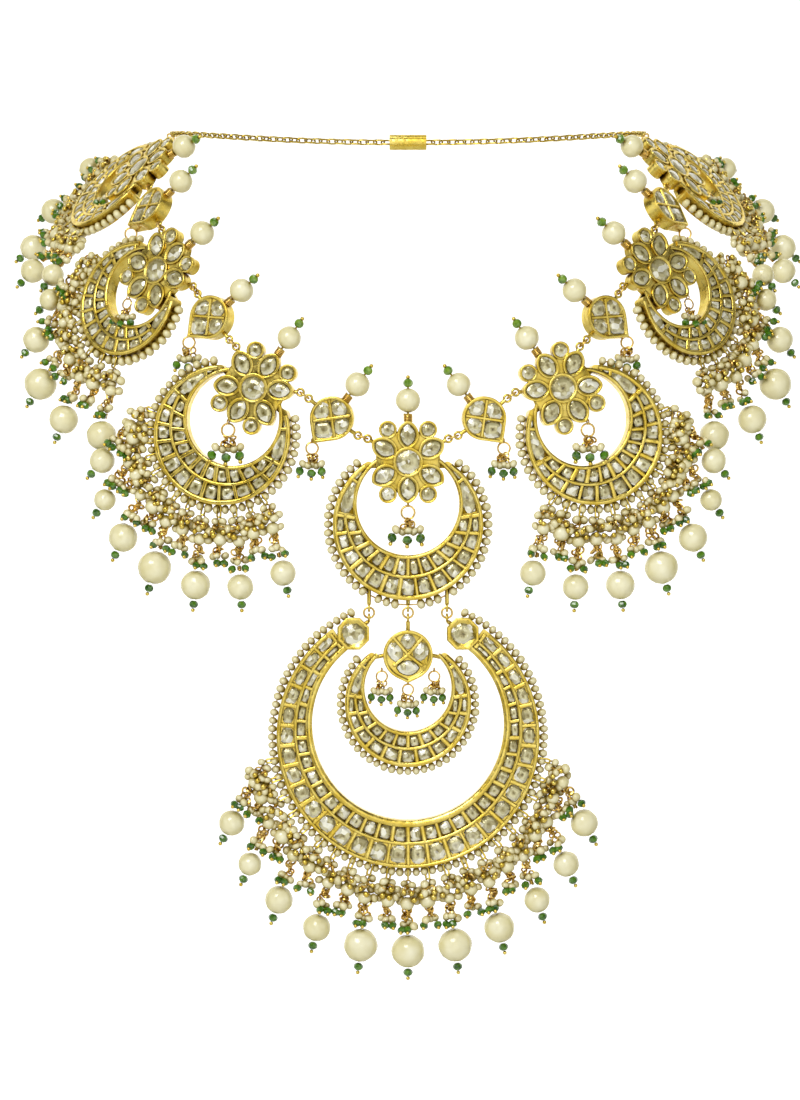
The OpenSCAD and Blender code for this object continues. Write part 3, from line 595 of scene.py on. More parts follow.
def cut_stones(kind, count, first_seed):
    """Stones with a girdle in a painted dark shade, a low crown and a table, and a map from the middle
    outwards.
    """
    stones = []
    for i in range(count):
        unselect()
        stone_outline(kind, first_seed + i)
        pick_top(-0.3)
        for thickness, depth in ((0.045, 0), (0.1, 0.5), (0.12, 0.3)):
            inset(thickness, depth)
        leave_edit()
        mesh = bpy.context.active_object.data
        layer = mesh.uv_layers.get("UVMap") or mesh.uv_layers.new(name="UVMap")
        for face in mesh.polygons:
            # The girdle faces take the painted shade material
            face.material_index = 1 if face.center.z < 0.08 else 0
            for corner in face.loop_indices:
                co = mesh.vertices[mesh.loops[corner].vertex_index].co
                layer.data[corner].uv = (co.x + 0.5, co.y + 0.5)
        stones.append(dressed("%s_stone_%d" % (kind, i), [POLKI, POLKI_PAINTED_SHADE], 0))
    return stones


def gold_cup(name, vertices, length, width, wall, rise, pointed=False):
    """A cup for a stone: a low wall with a flat lip round a sunken seat."""
    unselect()
    base = -1.2
    if pointed:
        lens_prism(vertices, length, width, base, rise)
    else:
        add_cylinder(vertices, 0.5, base, rise)
        edit()
        pick_all()
        stretch(length, width, 1)
    pick_top(rise - 0.1)
    inset(wall * 0.6, 0)
    inset(wall * 0.4, -0.4)
    leave_edit()
    soften(0.14)
    return dressed(name, [GOLD], 50)


def gold_web(name, radius):
    """The solder that fills a flower between its cups: a low dome with a soft edge."""
    unselect()
    add_cylinder(48, radius, -1.2, 0)
    pick_top(-0.2)
    inset(0.8, 0.25)
    inset(2, 0.1)
    pick_all()
    shake(0.1, 8)
    leave_edit()
    soften(0.3)
    return dressed(name, [GOLD], 60)


def round_bead(name, segments, rings, long_share, dimple, material, smooth=80, uneven=0.0, seed=0):
    """A bead of radius 1 on the Z axis, with a dimple at each end of its bore."""
    unselect()
    bpy.ops.mesh.primitive_uv_sphere_add(segments=segments, ring_count=rings, radius=1)
    pick("VERT", lambda vertex: abs(vertex.co.z) > 0.999)
    stretch(1, 1, 1 - dimple)
    pick_all()
    stretch(1, 1, long_share)
    if uneven:
        shake(uneven, seed, normal=1)
        bpy.ops.mesh.vertices_smooth(factor=0.5, repeat=2)
        leave_edit()
        widest = max(vertex.co.xy.length for vertex in bpy.context.active_object.data.vertices)
        edit()
        pick_all()
        stretch(1 / widest, 1 / widest, 1 / widest)
    return dressed(name, [material], smooth)


def wire_ring(name, radius, wire, rings, sides, stretched, material):
    """A ring of wire lying flat, with its halves pulled apart into a long link."""
    unselect()
    add_torus(radius, wire, rings, sides)
    for side in (-1, 1):
        pick("VERT", lambda vertex: vertex.co.x * side > 0.001)
        bpy.ops.transform.translate(value=(side * stretched / 2, 0, 0))
    pick_all()
    shake(wire * 0.12, rings)
    return dressed(name, [material], 60)


def wire_coil(name, radius, wire, turns, pitch):
    """A coil wound round the Z axis, from height 0 upwards, out of a screwed wire section."""
    unselect()
    bpy.ops.mesh.primitive_circle_add(
        vertices=6, radius=wire, location=(radius, 0, 0), rotation=(math.radians(90), 0, 0))
    bpy.ops.object.transform_apply(location=True, rotation=True, scale=True)
    winding = bpy.context.active_object.modifiers.new("winding", "SCREW")
    winding.angle = math.radians(360 * turns)
    winding.screw_offset = pitch * turns
    winding.steps = int(10 * turns)
    winding.render_steps = winding.steps
    winding.use_smooth_shade = True
    bpy.ops.object.modifier_apply(modifier=winding.name)
    edit()
    pick_all()
    bpy.ops.mesh.fill_holes(sides=0)
    pick_all()
    bpy.ops.mesh.normals_make_consistent(inside=False)
    return dressed(name, [WIRE], 60)


def cell_wall():
    """A gold wall between two stones: unit length and width, with a rounded top."""
    unselect()
    bpy.ops.mesh.primitive_cube_add(size=1, location=(0, 0, -0.5))
    pick_top(-0.2)
    inset(0.02, 0)
    stretch(1, 0.62, 1)
    bpy.ops.transform.translate(value=(0, 0, 0.35))
    pick_all()
    bpy.ops.mesh.subdivide(number_cuts=2)
    shake(0.02, 4)
    return dressed("cell_wall", [GOLD], 70)


# Templates, copied into the pieces and then removed
solids = set(bpy.data.objects)
CUSHIONS = cut_stones("cushion", 5, 1)
ROUNDS = cut_stones("round", 3, 11)
PETAL_STONES = cut_stones("marquise", 3, 21)
TEARDROPS = cut_stones("teardrop", 2, 31)
OCTAGON_ROUND = (OCTAGON_W + 0.5) / math.cos(math.radians(22.5))
PETAL_CUP = gold_cup("petal_cup", 48, PETAL_LEN, PETAL_CUP_W, 0.9, 0.5, pointed=True)
EYE_CUP = gold_cup("eye_cup", 24, EYE_CUP_W, EYE_CUP_W, 0.95, 0.75)
DOT_CUP = gold_cup("dot_cup", 16, DOT_CUP_W, DOT_CUP_W, 0.8, 0.35)
OCTAGON_CUP = gold_cup("octagon_cup", 8, OCTAGON_ROUND, OCTAGON_ROUND, 1.25, 0.6)
FLOWER_WEB = gold_web("flower_web", 9.4)
SEEDS = [round_bead("seed_%d" % i, 12, 8, 0.8, 0.2, SEED, uneven=0.07, seed=i + 3) for i in range(4)]
PEARLS = [round_bead("pearl_%d" % i, 32, 20, 0.97, 0.06, PEARL, uneven=0.05, seed=i + 9) for i in range(4)]
SMALLS = [round_bead("small_%d" % i, 18, 12, 0.92, 0.1, PEARL, uneven=0.07, seed=i + 15) for i in range(3)]
GREEN_BEAD = round_bead("green_bead", 8, 6, 0.85, 0.25, GREEN, smooth=0)
LIGHT_BEAD = round_bead("light_green_bead", 8, 6, 0.85, 0.25, LIGHT_GREEN, smooth=0)
BALL = round_bead("gold_ball", 10, 7, 1, 0.05, GOLD)
RING = wire_ring("jump_ring", 1.75, 0.28, 20, 6, 0, WIRE)
LOOP = wire_ring("pin_loop", 0.62, 0.21, 12, 5, 0, WIRE)
STEM = wire_ring("stem_loop", 0.55, 0.3, 14, 6, 2.4, GOLD)
CHAIN_LINK = wire_ring("chain_link", 0.95, 0.3, 16, 6, 1.6, GOLD)
PEARL_COIL = wire_coil("pearl_coil", 1.15, 0.24, 4.5, 0.46)
PIN_COIL = wire_coil("pin_coil", 0.5, 0.19, 3.5, 0.4)
CELL_BAR = cell_wall()
TEMPLATES = [piece for piece in bpy.data.objects if piece not in solids]


# Setting pieces in place
def moved(piece, place):
    piece.data.transform(place)
    if place.determinant() < 0:
        piece.data.flip_normals()
    return piece


def moved_all(pieces, place):
    return [moved(piece, place) for piece in pieces]


def copied(template, place):
    piece = template.copy()
    piece.data = template.data.copy()
    bpy.context.scene.collection.objects.link(piece)
    return moved(piece, place)


def set_at(template, spot, size, lie=PLAIN):
    """Copies a bead or ring to a place, in a size and a direction."""
    return copied(template, Matrix.Translation(spot) @ lie @ sized(size, size, size))


def laid(template, x, z, front, degrees, length=1, width=1, height=1):
    """Copies a flat template and stands it up at a place on a front plane."""
    return copied(template, shift(x, front, z) @ STAND @ turn(degrees, "Z") @ sized(length, width, height))


def finished(name, pieces, place=PLAIN, body="root", replaced=None):
    """Joins pieces into one, brings it to metres and lets it ride on its body."""
    unselect()
    for piece in moved_all(pieces, place):
        piece.select_set(True)
    bpy.context.view_layer.objects.active = pieces[0]
    if len(pieces) > 1:
        bpy.ops.object.join()
    whole = bpy.context.active_object
    whole.name = name
    whole.data.name = name
    whole.data.transform(Matrix.Scale(0.001, 4))
    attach(whole, body)
    if replaced:
        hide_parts(replaced)
    unselect()


def arc_ridge(radius, half_w, rise, reach, up, front, seed, material=GOLD):
    """A rounded ridge that runs along a circle, as far to both sides of its lowest point."""
    unselect()
    add_torus(radius, half_w, 120, 8, up)
    bpy.ops.object.transform_apply(location=True)
    edit()
    pick_all()
    stretch(1, 1, rise / half_w)
    pick("VERT", lambda vertex: abs(math.degrees(math.atan2(vertex.co.x, up - vertex.co.y))) > reach)
    bpy.ops.mesh.delete(type="VERT")
    pick_all()
    bpy.ops.mesh.fill_holes(sides=0)
    pick_all()
    shake(0.06, seed)
    return moved(dressed("ridge", [material], 70), shift(0, front, 0) @ STAND)


# Crescents
class Crescent:
    """The measures of one crescent in its own plane, with angles from its lowest point."""

    def __init__(self, r, belly, thin, gap, front, counts):
        self.r = r
        self.tip = 180 - gap
        self.front = front
        self.counts = counts
        self.in_r = r - (belly + thin) / 2
        self.in_rim = RIM
        self.up = (belly - thin) / 2
        self.bar_up = self.up * ROW_SPLIT
        self.bar_r = r - ROW_SPLIT * belly + self.bar_up

    def outer_row(self, angle):
        return reach_to(self.bar_r + BAR_FACE / 2, self.bar_up, angle), self.r - RIM

    def inner_row(self, angle):
        low = reach_to(self.in_r + self.in_rim, self.up, angle)
        return low, reach_to(self.bar_r - BAR_FACE / 2, self.bar_up, angle)

    def whole_row(self, angle):
        return self.inner_row(angle)[0], self.r - RIM

    def bar_end(self, angle):
        """An angle at the crescent's middle, as one at the middle of the ridge between rows."""
        lag = math.asin(self.bar_up * math.sin(math.radians(angle)) / self.bar_r)
        return angle - math.degrees(lag)


def row_pieces(row, count, reach, front, chance):
    """Stones of one row with the gold walls between them."""
    pitch = 2 * reach / count
    stones = []
    walls = []
    for j in range(count):
        angle = -reach + (j + 0.5) * pitch
        low, high = row(angle)
        mid = (low + high) / 2
        x, _, z = mid * radial(angle)
        length = (high - low) * chance.uniform(0.88, 1)
        width = (mid * math.radians(pitch) - CELL_WALL) * chance.uniform(0.9, 1.06)
        lie = angle - 90 + chance.uniform(-4, 4)
        stones.append(laid(chance.choice(CUSHIONS), x, z, front, lie, length, width, 0.55))
    for j in range(count + 1):
        angle = -reach + j * pitch
        low, high = row(angle)
        x, _, z = (low + high) / 2 * radial(angle)
        lie = angle - 90 + chance.uniform(-2, 2)
        width = CELL_WALL * chance.uniform(0.95, 1.3)
        walls.append(laid(CELL_BAR, x, z, front, lie, high - low + 0.5, width))
    return stones, walls


def both_rows(shape, reach, chance):
    stones, gold = row_pieces(shape.outer_row, shape.counts[0], reach, shape.front, chance)
    more_stones, more_gold = row_pieces(shape.inner_row, shape.counts[1], reach, shape.front, chance)
    return stones + more_stones, gold + more_gold


def crescent_work(shape, chance):
    """Stones and gold of a small crescent, in its own frame."""
    front = shape.front
    stones, gold = both_rows(shape, DOUBLE_ROW_TO, chance)
    wall_at = DOUBLE_ROW_TO + 32
    tips = (
        (DOUBLE_ROW_TO + 2, DOUBLE_ROW_TO + 31, TEARDROPS[0], 0.5),
        (DOUBLE_ROW_TO + 33, shape.tip - 7, TEARDROPS[1], 0.15),
    )
    for side in (-1, 1):
        for start, end, stone, height in tips:
            low, high = shape.whole_row(start + 5)
            first = (low + high) / 2 * radial(side * start)
            last = sum(shape.whole_row(end)) / 2 * radial(side * end)
            length = (last - first).length
            x, _, z = (first + last) / 2 + 0.02 * length * radial(side * start)
            lie = math.degrees(math.atan2(last.z - first.z, last.x - first.x))
            stones.append(laid(stone, x, z, front, lie, length, (high - low) * 1.08, height))
        low, high = shape.whole_row(wall_at)
        x, _, z = (low + high) / 2 * radial(side * wall_at)
        gold.append(laid(CELL_BAR, x, z, front, side * wall_at - 90, high - low + 0.4, CELL_WALL))
    bar_reach = shape.bar_end(DOUBLE_ROW_TO)
    gold += [
        arc_ridge(shape.r - RIM * 0.58, RIM * 0.62, 0.42, shape.tip, 0, front, 5),
        arc_ridge(shape.in_r + RIM / 2, RIM / 2, 0.42, shape.tip - 2, shape.up, front, 6),
        arc_ridge(shape.bar_r, BAR_FACE / 2, 0.4, bar_reach, shape.bar_up, front, 7),
    ]
    return stones, gold


def pearl_rim(r, gap, chance, seed_r, skipped=()):
    """Seed pearls strung round a crescent's edge, and their wire."""
    line = r + seed_r - 0.1
    reach = 180 - gap
    count = round(2 * math.radians(reach) * line / (SEED_STEP * seed_r))
    pieces = []
    for j in range(count):
        angle = -reach + (j + 0.5) * 2 * reach / count
        x, _, z = line * radial(angle)
        if any(abs(x - link_x) < 1.4 and z < 0 for link_x in skipped):
            continue
        size = seed_r * chance.uniform(0.92, 1.06)
        lie = turn(-angle + chance.uniform(-9, 9), "Y") @ turn(90, "Y")
        place = shift(x, chance.uniform(-0.15, 0.15), z) @ lie @ sized(size * 1.02, size, size)
        pieces.append(copied(chance.choice(SEEDS), place))
    pieces.append(arc_ridge(line, 0.2, 0.2, reach, 0, 0, 3, WIRE))
    return pieces


# Flowers and leaves
def flower_cups():
    gold = [laid(EYE_CUP, 0, 0, FLOWER_FRONT, 0), laid(FLOWER_WEB, 0, 0, FLOWER_FRONT + 0.3, 0)]
    for cup, places in ((PETAL_CUP, PETALS), (DOT_CUP, DOTS)):
        gold += [laid(cup, x, z, FLOWER_FRONT, angle) for angle, x, z in places]
    return gold


def flower_gems(chance):
    gems = [laid(ROUNDS[0], 0, 0, FLOWER_FRONT - 0.4, chance.uniform(0, 360), EYE_GEM_W, EYE_GEM_W, 0.7)]
    for angle, x, z in PETALS:
        lie = angle + chance.choice((0, 180))
        gems.append(laid(chance.choice(PETAL_STONES), x, z, FLOWER_FRONT - 0.15, lie, *PETAL_GEM, 0.6))
    for angle, x, z in DOTS:
        stone = chance.choice(ROUNDS)
        lie = chance.uniform(0, 360)
        gems.append(laid(stone, x, z, FLOWER_FRONT - 0.05, lie, DOT_GEM_W, DOT_GEM_W, 0.5))
    return gems


def leaf_rim(radius, point, seed):
    """The raised rim of a leaf: a round outline drawn out to one corner."""
    unselect()
    add_cylinder(32, radius, -1.15, 0.45)
    bpy.ops.object.transform_apply(location=True)
    side = math.acos(radius / point)
    tangent = math.pi / 2 - side

    def drawn(vertex):
        x, y, _ = vertex.co
        return -y > radius * math.sin(tangent) and abs(x) < radius * math.cos(tangent)

    pick("VERT", drawn)
    leave_edit()
    for vertex in bpy.context.active_object.data.vertices:
        if vertex.select:
            vertex.co.y = abs(vertex.co.x) * math.tan(side) - point
    pick_top(0.3)
    inset(0.7, 0)
    inset(0.3, -0.4)
    pick_all()
    shake(0.04, seed)
    leave_edit()
    soften(0.16)
    return moved(dressed("leaf_rim", [GOLD], 50), shift(0, LEAF_FRONT, 0) @ STAND)


def bar_between(start, end, width, front):
    """A gold wall on the face of a setting, from one point to another."""
    x, z = (start[0] + end[0]) / 2, (start[1] + end[1]) / 2
    run, rise = end[0] - start[0], end[1] - start[1]
    lie = math.degrees(math.atan2(rise, run))
    return laid(CELL_BAR, x, z, front, lie, math.hypot(run, rise), width)


def connector_work(chance):
    front = LEAF_FRONT - 0.1
    gold = [leaf_rim(LEAF_R, LEAF_CORNER, 2)]
    end = 3.92
    for side in (-1, 1):
        gold.append(bar_between((side * end, -end), (-side * end, end), 1, front))
    gems = []
    corner_stone = (0, -4, 45, 5, 5)
    round_stones = ((0, 3.55, 0, 5.2, 4.5), (3.55, 0, 90, 5.2, 4.5), (-3.55, 0, 90, 5.2, 4.5))
    for x, z, angle, length, width in (corner_stone, *round_stones):
        stone = chance.choice(CUSHIONS if z < 0 else ROUNDS)
        gems.append(laid(stone, x, z, front, angle + chance.uniform(-6, 6), length, width, 0.6))
    return gems, gold


def drop_leaf_work():
    front = LEAF_FRONT - 0.1
    gold = [leaf_rim(DROP_LEAF_R, DROP_LEAF_POINT, 3)]
    for end in ((-4.2, 5.2), (4.2, 5.2), (-4.2, -3), (4.2, -3)):
        gold.append(bar_between((0, 0.2), end, 1.1, front))
    gems = [
        laid(TEARDROPS[0], 0, 4, front, -90, 4.6, 4.6, 0.6),
        laid(ROUNDS[0], -3.7, 1.05, front, 112, 5.8, 4.5, 0.6),
        laid(ROUNDS[1], 3.7, 1.05, front, 68, 5.8, 4.5, 0.6),
        laid(PETAL_STONES[2], 0, -3.6, front, 0, 7, 4.6, 0.6),
    ]
    return gems, gold


# Bead bunches and fringes
def bunch(chance, place, size, spread):
    """A ring with a tangle of wire, seed pearls, green beads and gold balls, hung from a place."""
    pieces = [
        copied(RING, shift(0, 0, -0.9) @ turn(90, "X")),
        copied(LOOP, shift(0, 0, 1.3) @ turn(80, "Z") @ turn(90, "X")),
    ]
    for j in range(8):
        lie = turn(chance.uniform(0, 180), "Z") @ turn(chance.uniform(30, 150), "X")
        spot = Vector((chance.uniform(-1.4, 1.4), chance.uniform(-0.6, 0.4), -2.9 - 0.27 * j))
        pieces.append(set_at(LOOP, spot, BUNCH_BEAD, lie))
    for j in range(5):
        x = (j - 2) * 1.6 * spread
        spot = Vector((x, chance.uniform(-1.2, 0.8), -5.7 - 0.4 * (j % 2) + abs(x) * 0.1))
        pieces.append(set_at(chance.choice(SEEDS), spot, BUNCH_BEAD, along(Vector((x * 0.6, -0.4, -1)))))
    for x, y, z in ((-4.2, -0.8, -7.5), (-0.2, -1.5, -8.2), (3.3, -0.7, -7.7)):
        spot = Vector((x * spread, y, z))
        pieces.append(set_at(GREEN_BEAD, spot, GREEN_SIZE, along(Vector((x * 0.3, -0.5, -1)))))
        pieces.append(set_at(BALL, spot + Vector((x * 0.1, -0.5, -1.6)), BALL_R))
    return moved_all(pieces, place @ sized(size, size, size))


def fringe_pieces(r, fringe, shares, down, chance):
    """Pearls, wires and green beads of all strands, and the drop pearls, in the crescent's frame."""
    pearls, wires, greens, drops = [], [], [], []
    strands, first, last, hang, pull = fringe
    for j in range(strands):
        angle = first + (last - first) * j / (strands - 1)
        out = radial(angle)
        head = (r + STRAND_HEAD) * out
        line = (out + pull * down).normalized()
        side = Vector((line.z, 0, -line.x))
        lie = along(line)
        has_drop = j % 2 == 0
        if has_drop:
            drop_r = DROP_PEARL_R * shares[j // 2]
            length = hang - drop_r - 0.6
        else:
            length = (hang - STRAND_SHORT) * (0.6 + 0.4 * out.dot(line))

        def bead(group, template, share, across, front, size, tilt=0):
            spot = head + line * (share * length) + side * across + Vector((0, front, 0))
            tilted = lie @ turn(chance.uniform(-tilt, tilt), "X") @ turn(chance.uniform(-tilt, tilt), "Y")
            group.append(set_at(template, spot, size, tilted))

        def seed(share, wander, across, fronts, sizes, stray=None):
            """A seed pearl near a share of the strand, turned any way."""
            template = chance.choice(SEEDS)
            share += chance.uniform(-wander, wander)
            if stray:
                across += chance.uniform(-stray, stray)
            bead(pearls, template, share, across, chance.uniform(*fronts), chance.uniform(*sizes), 60)

        # Stem and loop that hold the strand at the crescent's edge
        stem_at = (r + 1.9) * out + Vector((0, -0.9, 0))
        wires.append(set_at(STEM, stem_at, 1, along(out) @ turn(90, "Y")))
        wires.append(set_at(LOOP, head + line * (0.05 * length), 1.2, turn(90, "X")))
        bead(wires, PIN_COIL, 0.08, 0, 0, 0.9)

        # Upper tangle of seed pearls, gold balls and loops round a medium pearl
        for across in (-1.2, 1.1):
            seed(0.08, 0.03, across, (-1, 0.8), (1.2, 1.5))
            seed(0.41, 0.05, across * 2, (-0.4, 1.2), (1.25, 1.6))
            bead(wires, LOOP, 0.18 + chance.uniform(-0.04, 0.04), across * 0.8, -1.3, 1.3, 70)
        bead(wires, BALL, 0.37, chance.uniform(-2.6, 2.6), -2, chance.uniform(0.75, 0.95))
        cluster = 5 if length > 11 else 4
        for n in range(cluster):
            across = (n - (cluster - 1) / 2) * 1.4 + chance.uniform(-0.3, 0.3)
            seed(0.25, 0.06, across, (-1.5, 0.9), (1.25, 1.6))
        for across in (-1.4, 1.2):
            across += chance.uniform(-0.9, 0.9)
            share = 0.27 + chance.uniform(-0.1, 0.08)
            bead(wires, BALL, share, across, -2.3 + abs(across) * 0.3, chance.uniform(0.7, 0.95))
        medium = chance.uniform(1.8, 2.2) if has_drop else chance.uniform(2, 2.6)
        pearl = chance.choice(SMALLS)
        bead(pearls, pearl, 0.45, chance.uniform(-0.5, 0.5), chance.uniform(-0.6, 0.3), medium, 20)

        # Coil and loops below it, with seed pearls, two green beads and their gold balls
        bead(wires, PIN_COIL, 0.58, 0, 0, 1.2)
        for n in range(6):
            across, front = chance.uniform(-1.1, 1.1), chance.uniform(-0.9, 0.5)
            bead(wires, LOOP, 0.56 + 0.045 * n, across, front, chance.uniform(1.2, 1.7), 85)
        for n in range(3):
            seed(0.84, 0.05, (n - 1) * 1.55, (-1.3, 0.9), (1.15, 1.45), stray=0.3)
        for across in chance.sample((-2.1, 1.9, 0.1), 2):
            bead(greens, GREEN_BEAD, 0.95, across, -1.2, 1.3, 50)
            bead(wires, BALL, 1, across * 1.1, -2.4, BALL_R * 0.9)

        # Drop pearl with a green bead and a gold ball at its foot
        if has_drop:
            bead(wires, PIN_COIL, 0.9, 0, 0, 1)
            spin = lie @ turn(chance.uniform(0, 360), "Z")
            drops.append(set_at(chance.choice(PEARLS), head + line * hang, drop_r, spin))
            foot = head + line * (hang + drop_r + GREEN_R)
            greens.append(set_at(GREEN_BEAD, foot, GREEN_SIZE, lie))
            wires.append(set_at(BALL, foot + line * (GREEN_R + BALL_R * 0.8), BALL_R))
    return pearls, wires, greens, drops


def make_fringe(name, nodes, pieces, place, body):
    pearls, wires, greens, drops = pieces
    finished(name + "_fringe_pearls", pearls, place, body, nodes[0])
    finished(name + "_fringe_wires", wires, place, body)
    finished(name + "_fringe_greens", greens, place, body)
    finished(name + "_drop_pearls", drops, place, body, nodes[1])


# The pieces of the necklace
def names_and_sides(k):
    if k == 0:
        return [("centre", -1)]
    return [("left_%d" % k, -1), ("right_%d" % k, 1)]


def make_flower_unit(k, name, side):
    """Everything on one flower and its crescent, but for the gems and the bunch that it returns."""
    chance = random.Random(100 + 10 * k + side)
    r, belly = CRESCENTS[k]
    unit = at_unit(2 * k, side)
    place = unit @ shift(0, 0, -crescent_drop(k))
    shape = Crescent(r, belly, CRESCENT_THIN, gap_of(k), CRESCENT_FRONT, ROW_COUNTS[k])
    stones, gold = crescent_work(shape, chance)
    finished("crescent_%s_stones" % name, stones, place)
    finished("crescent_%s_rims" % name, gold, place)
    skipped = () if k else (-SIDE_LINK_X, 0, SIDE_LINK_X)
    rim = pearl_rim(r, gap_of(k) + 3, chance, COLLAR_SEED_R, skipped)
    finished("seed_rim_" + name, rim, place, replaced="rim_pearls_" + name)
    finished("petal_cups_" + name, flower_cups(), unit)
    gems = moved_all(flower_gems(chance), unit)
    down = down_in(2 * k)
    tilt = math.degrees(math.atan2(-down.x, -down.z))
    hung = unit @ shift(0, FLOWER_MID, -FLOWER_REACH - 1.65) @ turn(tilt, "Y")
    beads = bunch(chance, hung, BUNCH_SIZES[k], 1)
    if k:
        pieces = fringe_pieces(r, FRINGES[k], DROP_SHARES[k], down, chance)
        make_fringe(name, ("fringe_" + name, "drops_" + name), pieces, place, "root")
    return gems, beads


def make_flower_units():
    gems, bunches = [], []
    for k in range(len(CRESCENTS)):
        for name, side in names_and_sides(k):
            more_gems, more_beads = make_flower_unit(k, name, side)
            gems += more_gems
            bunches += more_beads
    finished("flower_gems", gems, replaced="flower_stones")
    finished("flower_bead_bunches", bunches, replaced="flower_bunches")


def make_connectors():
    gems, bunches = [], []
    for i in (1, 3, 5):
        for name, side in names_and_sides((i + 1) // 2):
            chance = random.Random(300 + 10 * i + side)
            unit = at_unit(i, side)
            stones, gold = connector_work(chance)
            finished("connector_%s_rims" % name, gold, unit)
            gems += moved_all(stones, unit)
            corner = unit @ Vector((0, 0, -LEAF_CORNER - 0.8))
            bunches += bunch(chance, Matrix.Translation(corner), 1, 0.85)
    finished("connector_gems", gems, replaced="connector_stones")
    finished("connector_bead_bunches", bunches)


def make_collar_pearls():
    pearls, coils, greens = [], [], []
    for i in range(len(TURNS)):
        start, y = (FLOWER_REACH, FLOWER_MID) if i % 2 == 0 else (LEAF_R, 0)
        middle = start + 2 + COLLAR_PEARL_R + 0.15
        for side in (-1, 1) if i else (-1,):
            chance = random.Random(500 + 10 * i + side)
            unit = at_unit(i, side) @ shift(0, y, 0)
            spin = turn(chance.uniform(0, 360), "Z")
            size = COLLAR_PEARL_R * chance.uniform(0.96, 1)
            at_pearl = unit @ shift(0, 0, middle) @ spin
            pearls.append(copied(chance.choice(PEARLS), at_pearl @ sized(size, size, size)))
            coils.append(copied(PEARL_COIL, unit @ shift(0, 0, start - 0.2)))
            at_bead = at_pearl @ shift(0, 0, COLLAR_PEARL_R + GREEN_R + 0.1)
            greens.append(copied(LIGHT_BEAD, at_bead @ sized(1.5, 1.5, 1.6)))
    finished("collar_pearls_round", pearls, replaced="collar_pearls")
    finished("collar_coils", coils)
    finished("collar_greens", greens)


def make_pendant():
    chance = random.Random(700)
    front = CRESCENT_FRONT
    place = FROM_NAPE @ shift(0, 0, PENDANT_Z)
    shape = Crescent(PENDANT_R, PENDANT_BELLY, PENDANT_THIN, PENDANT_GAP, front, PENDANT_COUNTS)
    shape.in_rim = PENDANT_IN_RIM
    shape.bar_up = shape.up / 2
    shape.bar_r = (PENDANT_R + shape.in_r) / 2 - 0.3
    reach = shape.tip - 2
    stones, gold = both_rows(shape, reach, chance)
    gold += [
        arc_ridge(PENDANT_R - RIM / 2, RIM / 2, 0.45, reach, 0, front, 5),
        arc_ridge(shape.in_r + PENDANT_IN_RIM / 2, PENDANT_IN_RIM / 2, 0.5, reach - 1, shape.up, front, 6),
        arc_ridge(shape.bar_r, BAR_FACE / 2, 0.42, reach, shape.bar_up, front, 7),
    ]
    out = PENDANT_R - OCTAGON_W / 2
    for side in (-1, 1):
        x, z = side * out * math.sin(math.radians(OCTAGON_AT)), out * math.cos(math.radians(OCTAGON_AT))
        gold.append(laid(OCTAGON_CUP, x, z, front, 22.5))
        stones.append(laid(ROUNDS[side], x, z, front - 0.2, 10, OCTAGON_GEM_W, OCTAGON_GEM_W, 0.7))
    finished("pendant_gems", stones, place, "pendant", "pendant_stones")
    finished("pendant_rims", gold, place, "pendant")
    rim = pearl_rim(PENDANT_R, PENDANT_RIM_GAP, chance, PENDANT_SEED_R)
    finished("pendant_seed_rim", rim, place, "pendant", "pendant_rim_pearls")
    pieces = fringe_pieces(PENDANT_R, PENDANT_FRINGE, PENDANT_SHARES, Vector((0, 0, -1)), chance)
    make_fringe("pendant", ("pendant_fringe", "pendant_drops"), pieces, place, "pendant")


def make_inner_drop():
    chance = random.Random(800)
    body = "inner_drop"
    leaf = FROM_NAPE @ shift(0, 0, DROP_LEAF_Z)
    place = leaf @ shift(0, 0, -INNER_DROP)
    shape = Crescent(INNER_R, INNER_BELLY, INNER_THIN, INNER_GAP, LEAF_FRONT, INNER_COUNTS)
    stones, gold = crescent_work(shape, chance)
    leaf_gems, leaf_gold = drop_leaf_work()
    stones = moved_all(stones, place) + moved_all(leaf_gems, leaf)
    gold = moved_all(gold, place) + moved_all(leaf_gold, leaf)
    finished("inner_drop_gems", stones, PLAIN, body, "inner_drop_stones")
    finished("inner_drop_rims", gold, PLAIN, body)
    rim = pearl_rim(INNER_R, INNER_RIM_GAP, chance, INNER_SEED_R)
    finished("inner_drop_seed_rim", rim, place, body, "inner_drop_rim_pearls")
    bunches = []
    for x, z in ((0, -DROP_LEAF_POINT - 1.2), (-7.6, -5.4), (7.6, -5.4)):
        bunches += bunch(chance, leaf @ shift(x, 0, z), 0.9, 0.8)
    finished("inner_drop_bead_bunches", bunches, PLAIN, body, "inner_drop_bunches")


def chain_points():
    """The middle line of the left half of the chain, from the last flower to the clasp."""
    last = len(TURNS) - 1
    direction = turning(last) @ Vector((-1, 0, 0))
    start = PLACES[last] + turning(last) @ eyelet(last, -1) + (2 * LINK_R + EYELET_R - WIRE_R) * direction
    end = NAPE - Vector((CLASP_LEN / 2 + 0.1, 0, 0))
    first_pull = start + CHAIN_BOW * Vector((0, 1, 0.12)).normalized()
    last_pull = end - Vector((1.1 * CHAIN_BOW, 0, 0))
    steps = 400
    points = []
    for n in range(steps + 1):
        t = n / steps
        weights = ((1 - t) ** 3, 3 * t * (1 - t) ** 2, 3 * t * t * (1 - t), t ** 3)
        corners = zip(weights, (start, first_pull, last_pull, end))
        points.append(sum((weight * corner for weight, corner in corners), Vector((0, 0, 0))))
    return points


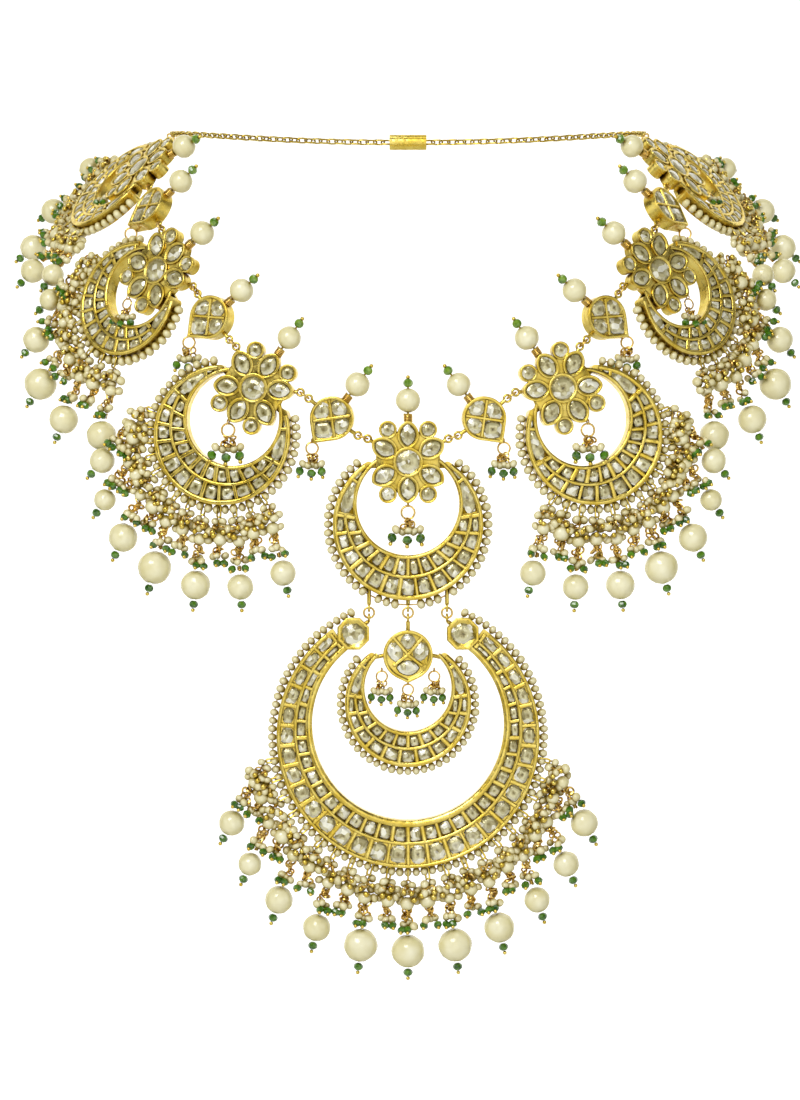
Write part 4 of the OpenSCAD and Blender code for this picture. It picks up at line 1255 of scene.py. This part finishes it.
def make_chain():
    points = chain_points()
    links = []
    walked = 0
    for before, after in zip(points, points[1:]):
        walked += (after - before).length
        count = len(links) // 2
        if walked >= CHAIN_PITCH * (count + 0.5):
            lie = (after - before).normalized().to_track_quat("X", "Z").to_matrix().to_4x4()
            lie = lie @ turn(45 + 90 * (count % 2), "X")
            for half in (PLAIN, MIRROR):
                links.append(copied(CHAIN_LINK, FROM_NAPE @ half @ Matrix.Translation(after) @ lie))
    finished("chain_links", links, replaced="back_chain")


make_flower_units()
make_connectors()
make_collar_pearls()
make_pendant()
make_inner_drop()
make_chain()

for template in TEMPLATES:
    bpy.data.objects.remove(template)

# Solids that stay as they are get their finish
for name, node in frame["nodes"].items():
    if not node.hide_render:
        node.data.materials.clear()
        node.data.materials.append(WIRE if "links" in name else GOLD)


# Stage, lights and camera, in metres
def make_stage():
    sheets = (("floor", (0, 0, -0.8), 0, 0), ("backdrop", (0, 1.6, 0), 90, 0.95))
    for name, middle, tilt, glow in sheets:
        unselect()
        bpy.ops.mesh.primitive_plane_add(size=8, location=middle, rotation=(math.radians(tilt), 0, 0))
        sheet = bpy.context.active_object
        sheet.name = name
        sheet.data.materials.append(stage_material(name + "_paper", glow))
    unselect()


def make_lights():
    middle = Vector((0, -0.1, -0.12))
    for name, spot, size, power in (
        ("key", (-0.4, -1.15, 0.65), 0.6, 10),
        ("front", (0.3, -1.7, -0.1), 1.3, 5.5),
        ("left", (-1.3, -0.7, 0.1), 1, 2.8),
        ("right", (1.3, -0.7, 0), 1, 2.2),
        ("top", (0.1, -0.2, 0.9), 0.4, 1),
    ):
        lamp = bpy.data.lights.new(name, "AREA")
        lamp.size = size
        lamp.energy = power
        holder = bpy.data.objects.new(name, lamp)
        bpy.context.scene.collection.objects.link(holder)
        holder.location = spot
        holder.visible_camera = False
        holder.rotation_euler = (middle - Vector(spot)).to_track_quat("-Z", "Y").to_euler()
    world = bpy.context.scene.world or bpy.data.worlds.new("studio")
    bpy.context.scene.world = world
    world.use_nodes = True
    sky = world.node_tree.nodes["Background"]
    sky.inputs["Color"].default_value = (1, 0.99, 0.96, 1)
    sky.inputs["Strength"].default_value = 0.14


def make_camera():
    """The photograph's framing, seen from 1 m at the middle flower."""
    distance = 1
    photo_height = 1100
    metres_to_pixel = 0.00029
    lens = bpy.data.cameras.new("camera")
    lens.sensor_width = 36
    lens.lens = lens.sensor_width * distance / (photo_height * metres_to_pixel)
    lens.shift_x = -8 / photo_height
    lens.shift_y = -88 / photo_height
    camera = bpy.data.objects.new("camera", lens)
    bpy.context.scene.collection.objects.link(camera)
    camera.location = (0, -NAPE.y / 1000 - distance, -NAPE.z / 1000)
    camera.rotation_euler = (math.radians(90), 0, 0)
    bpy.context.scene.camera = camera


make_stage()
make_lights()
make_camera()
bpy.context.scene.view_settings.view_transform = "Standard"
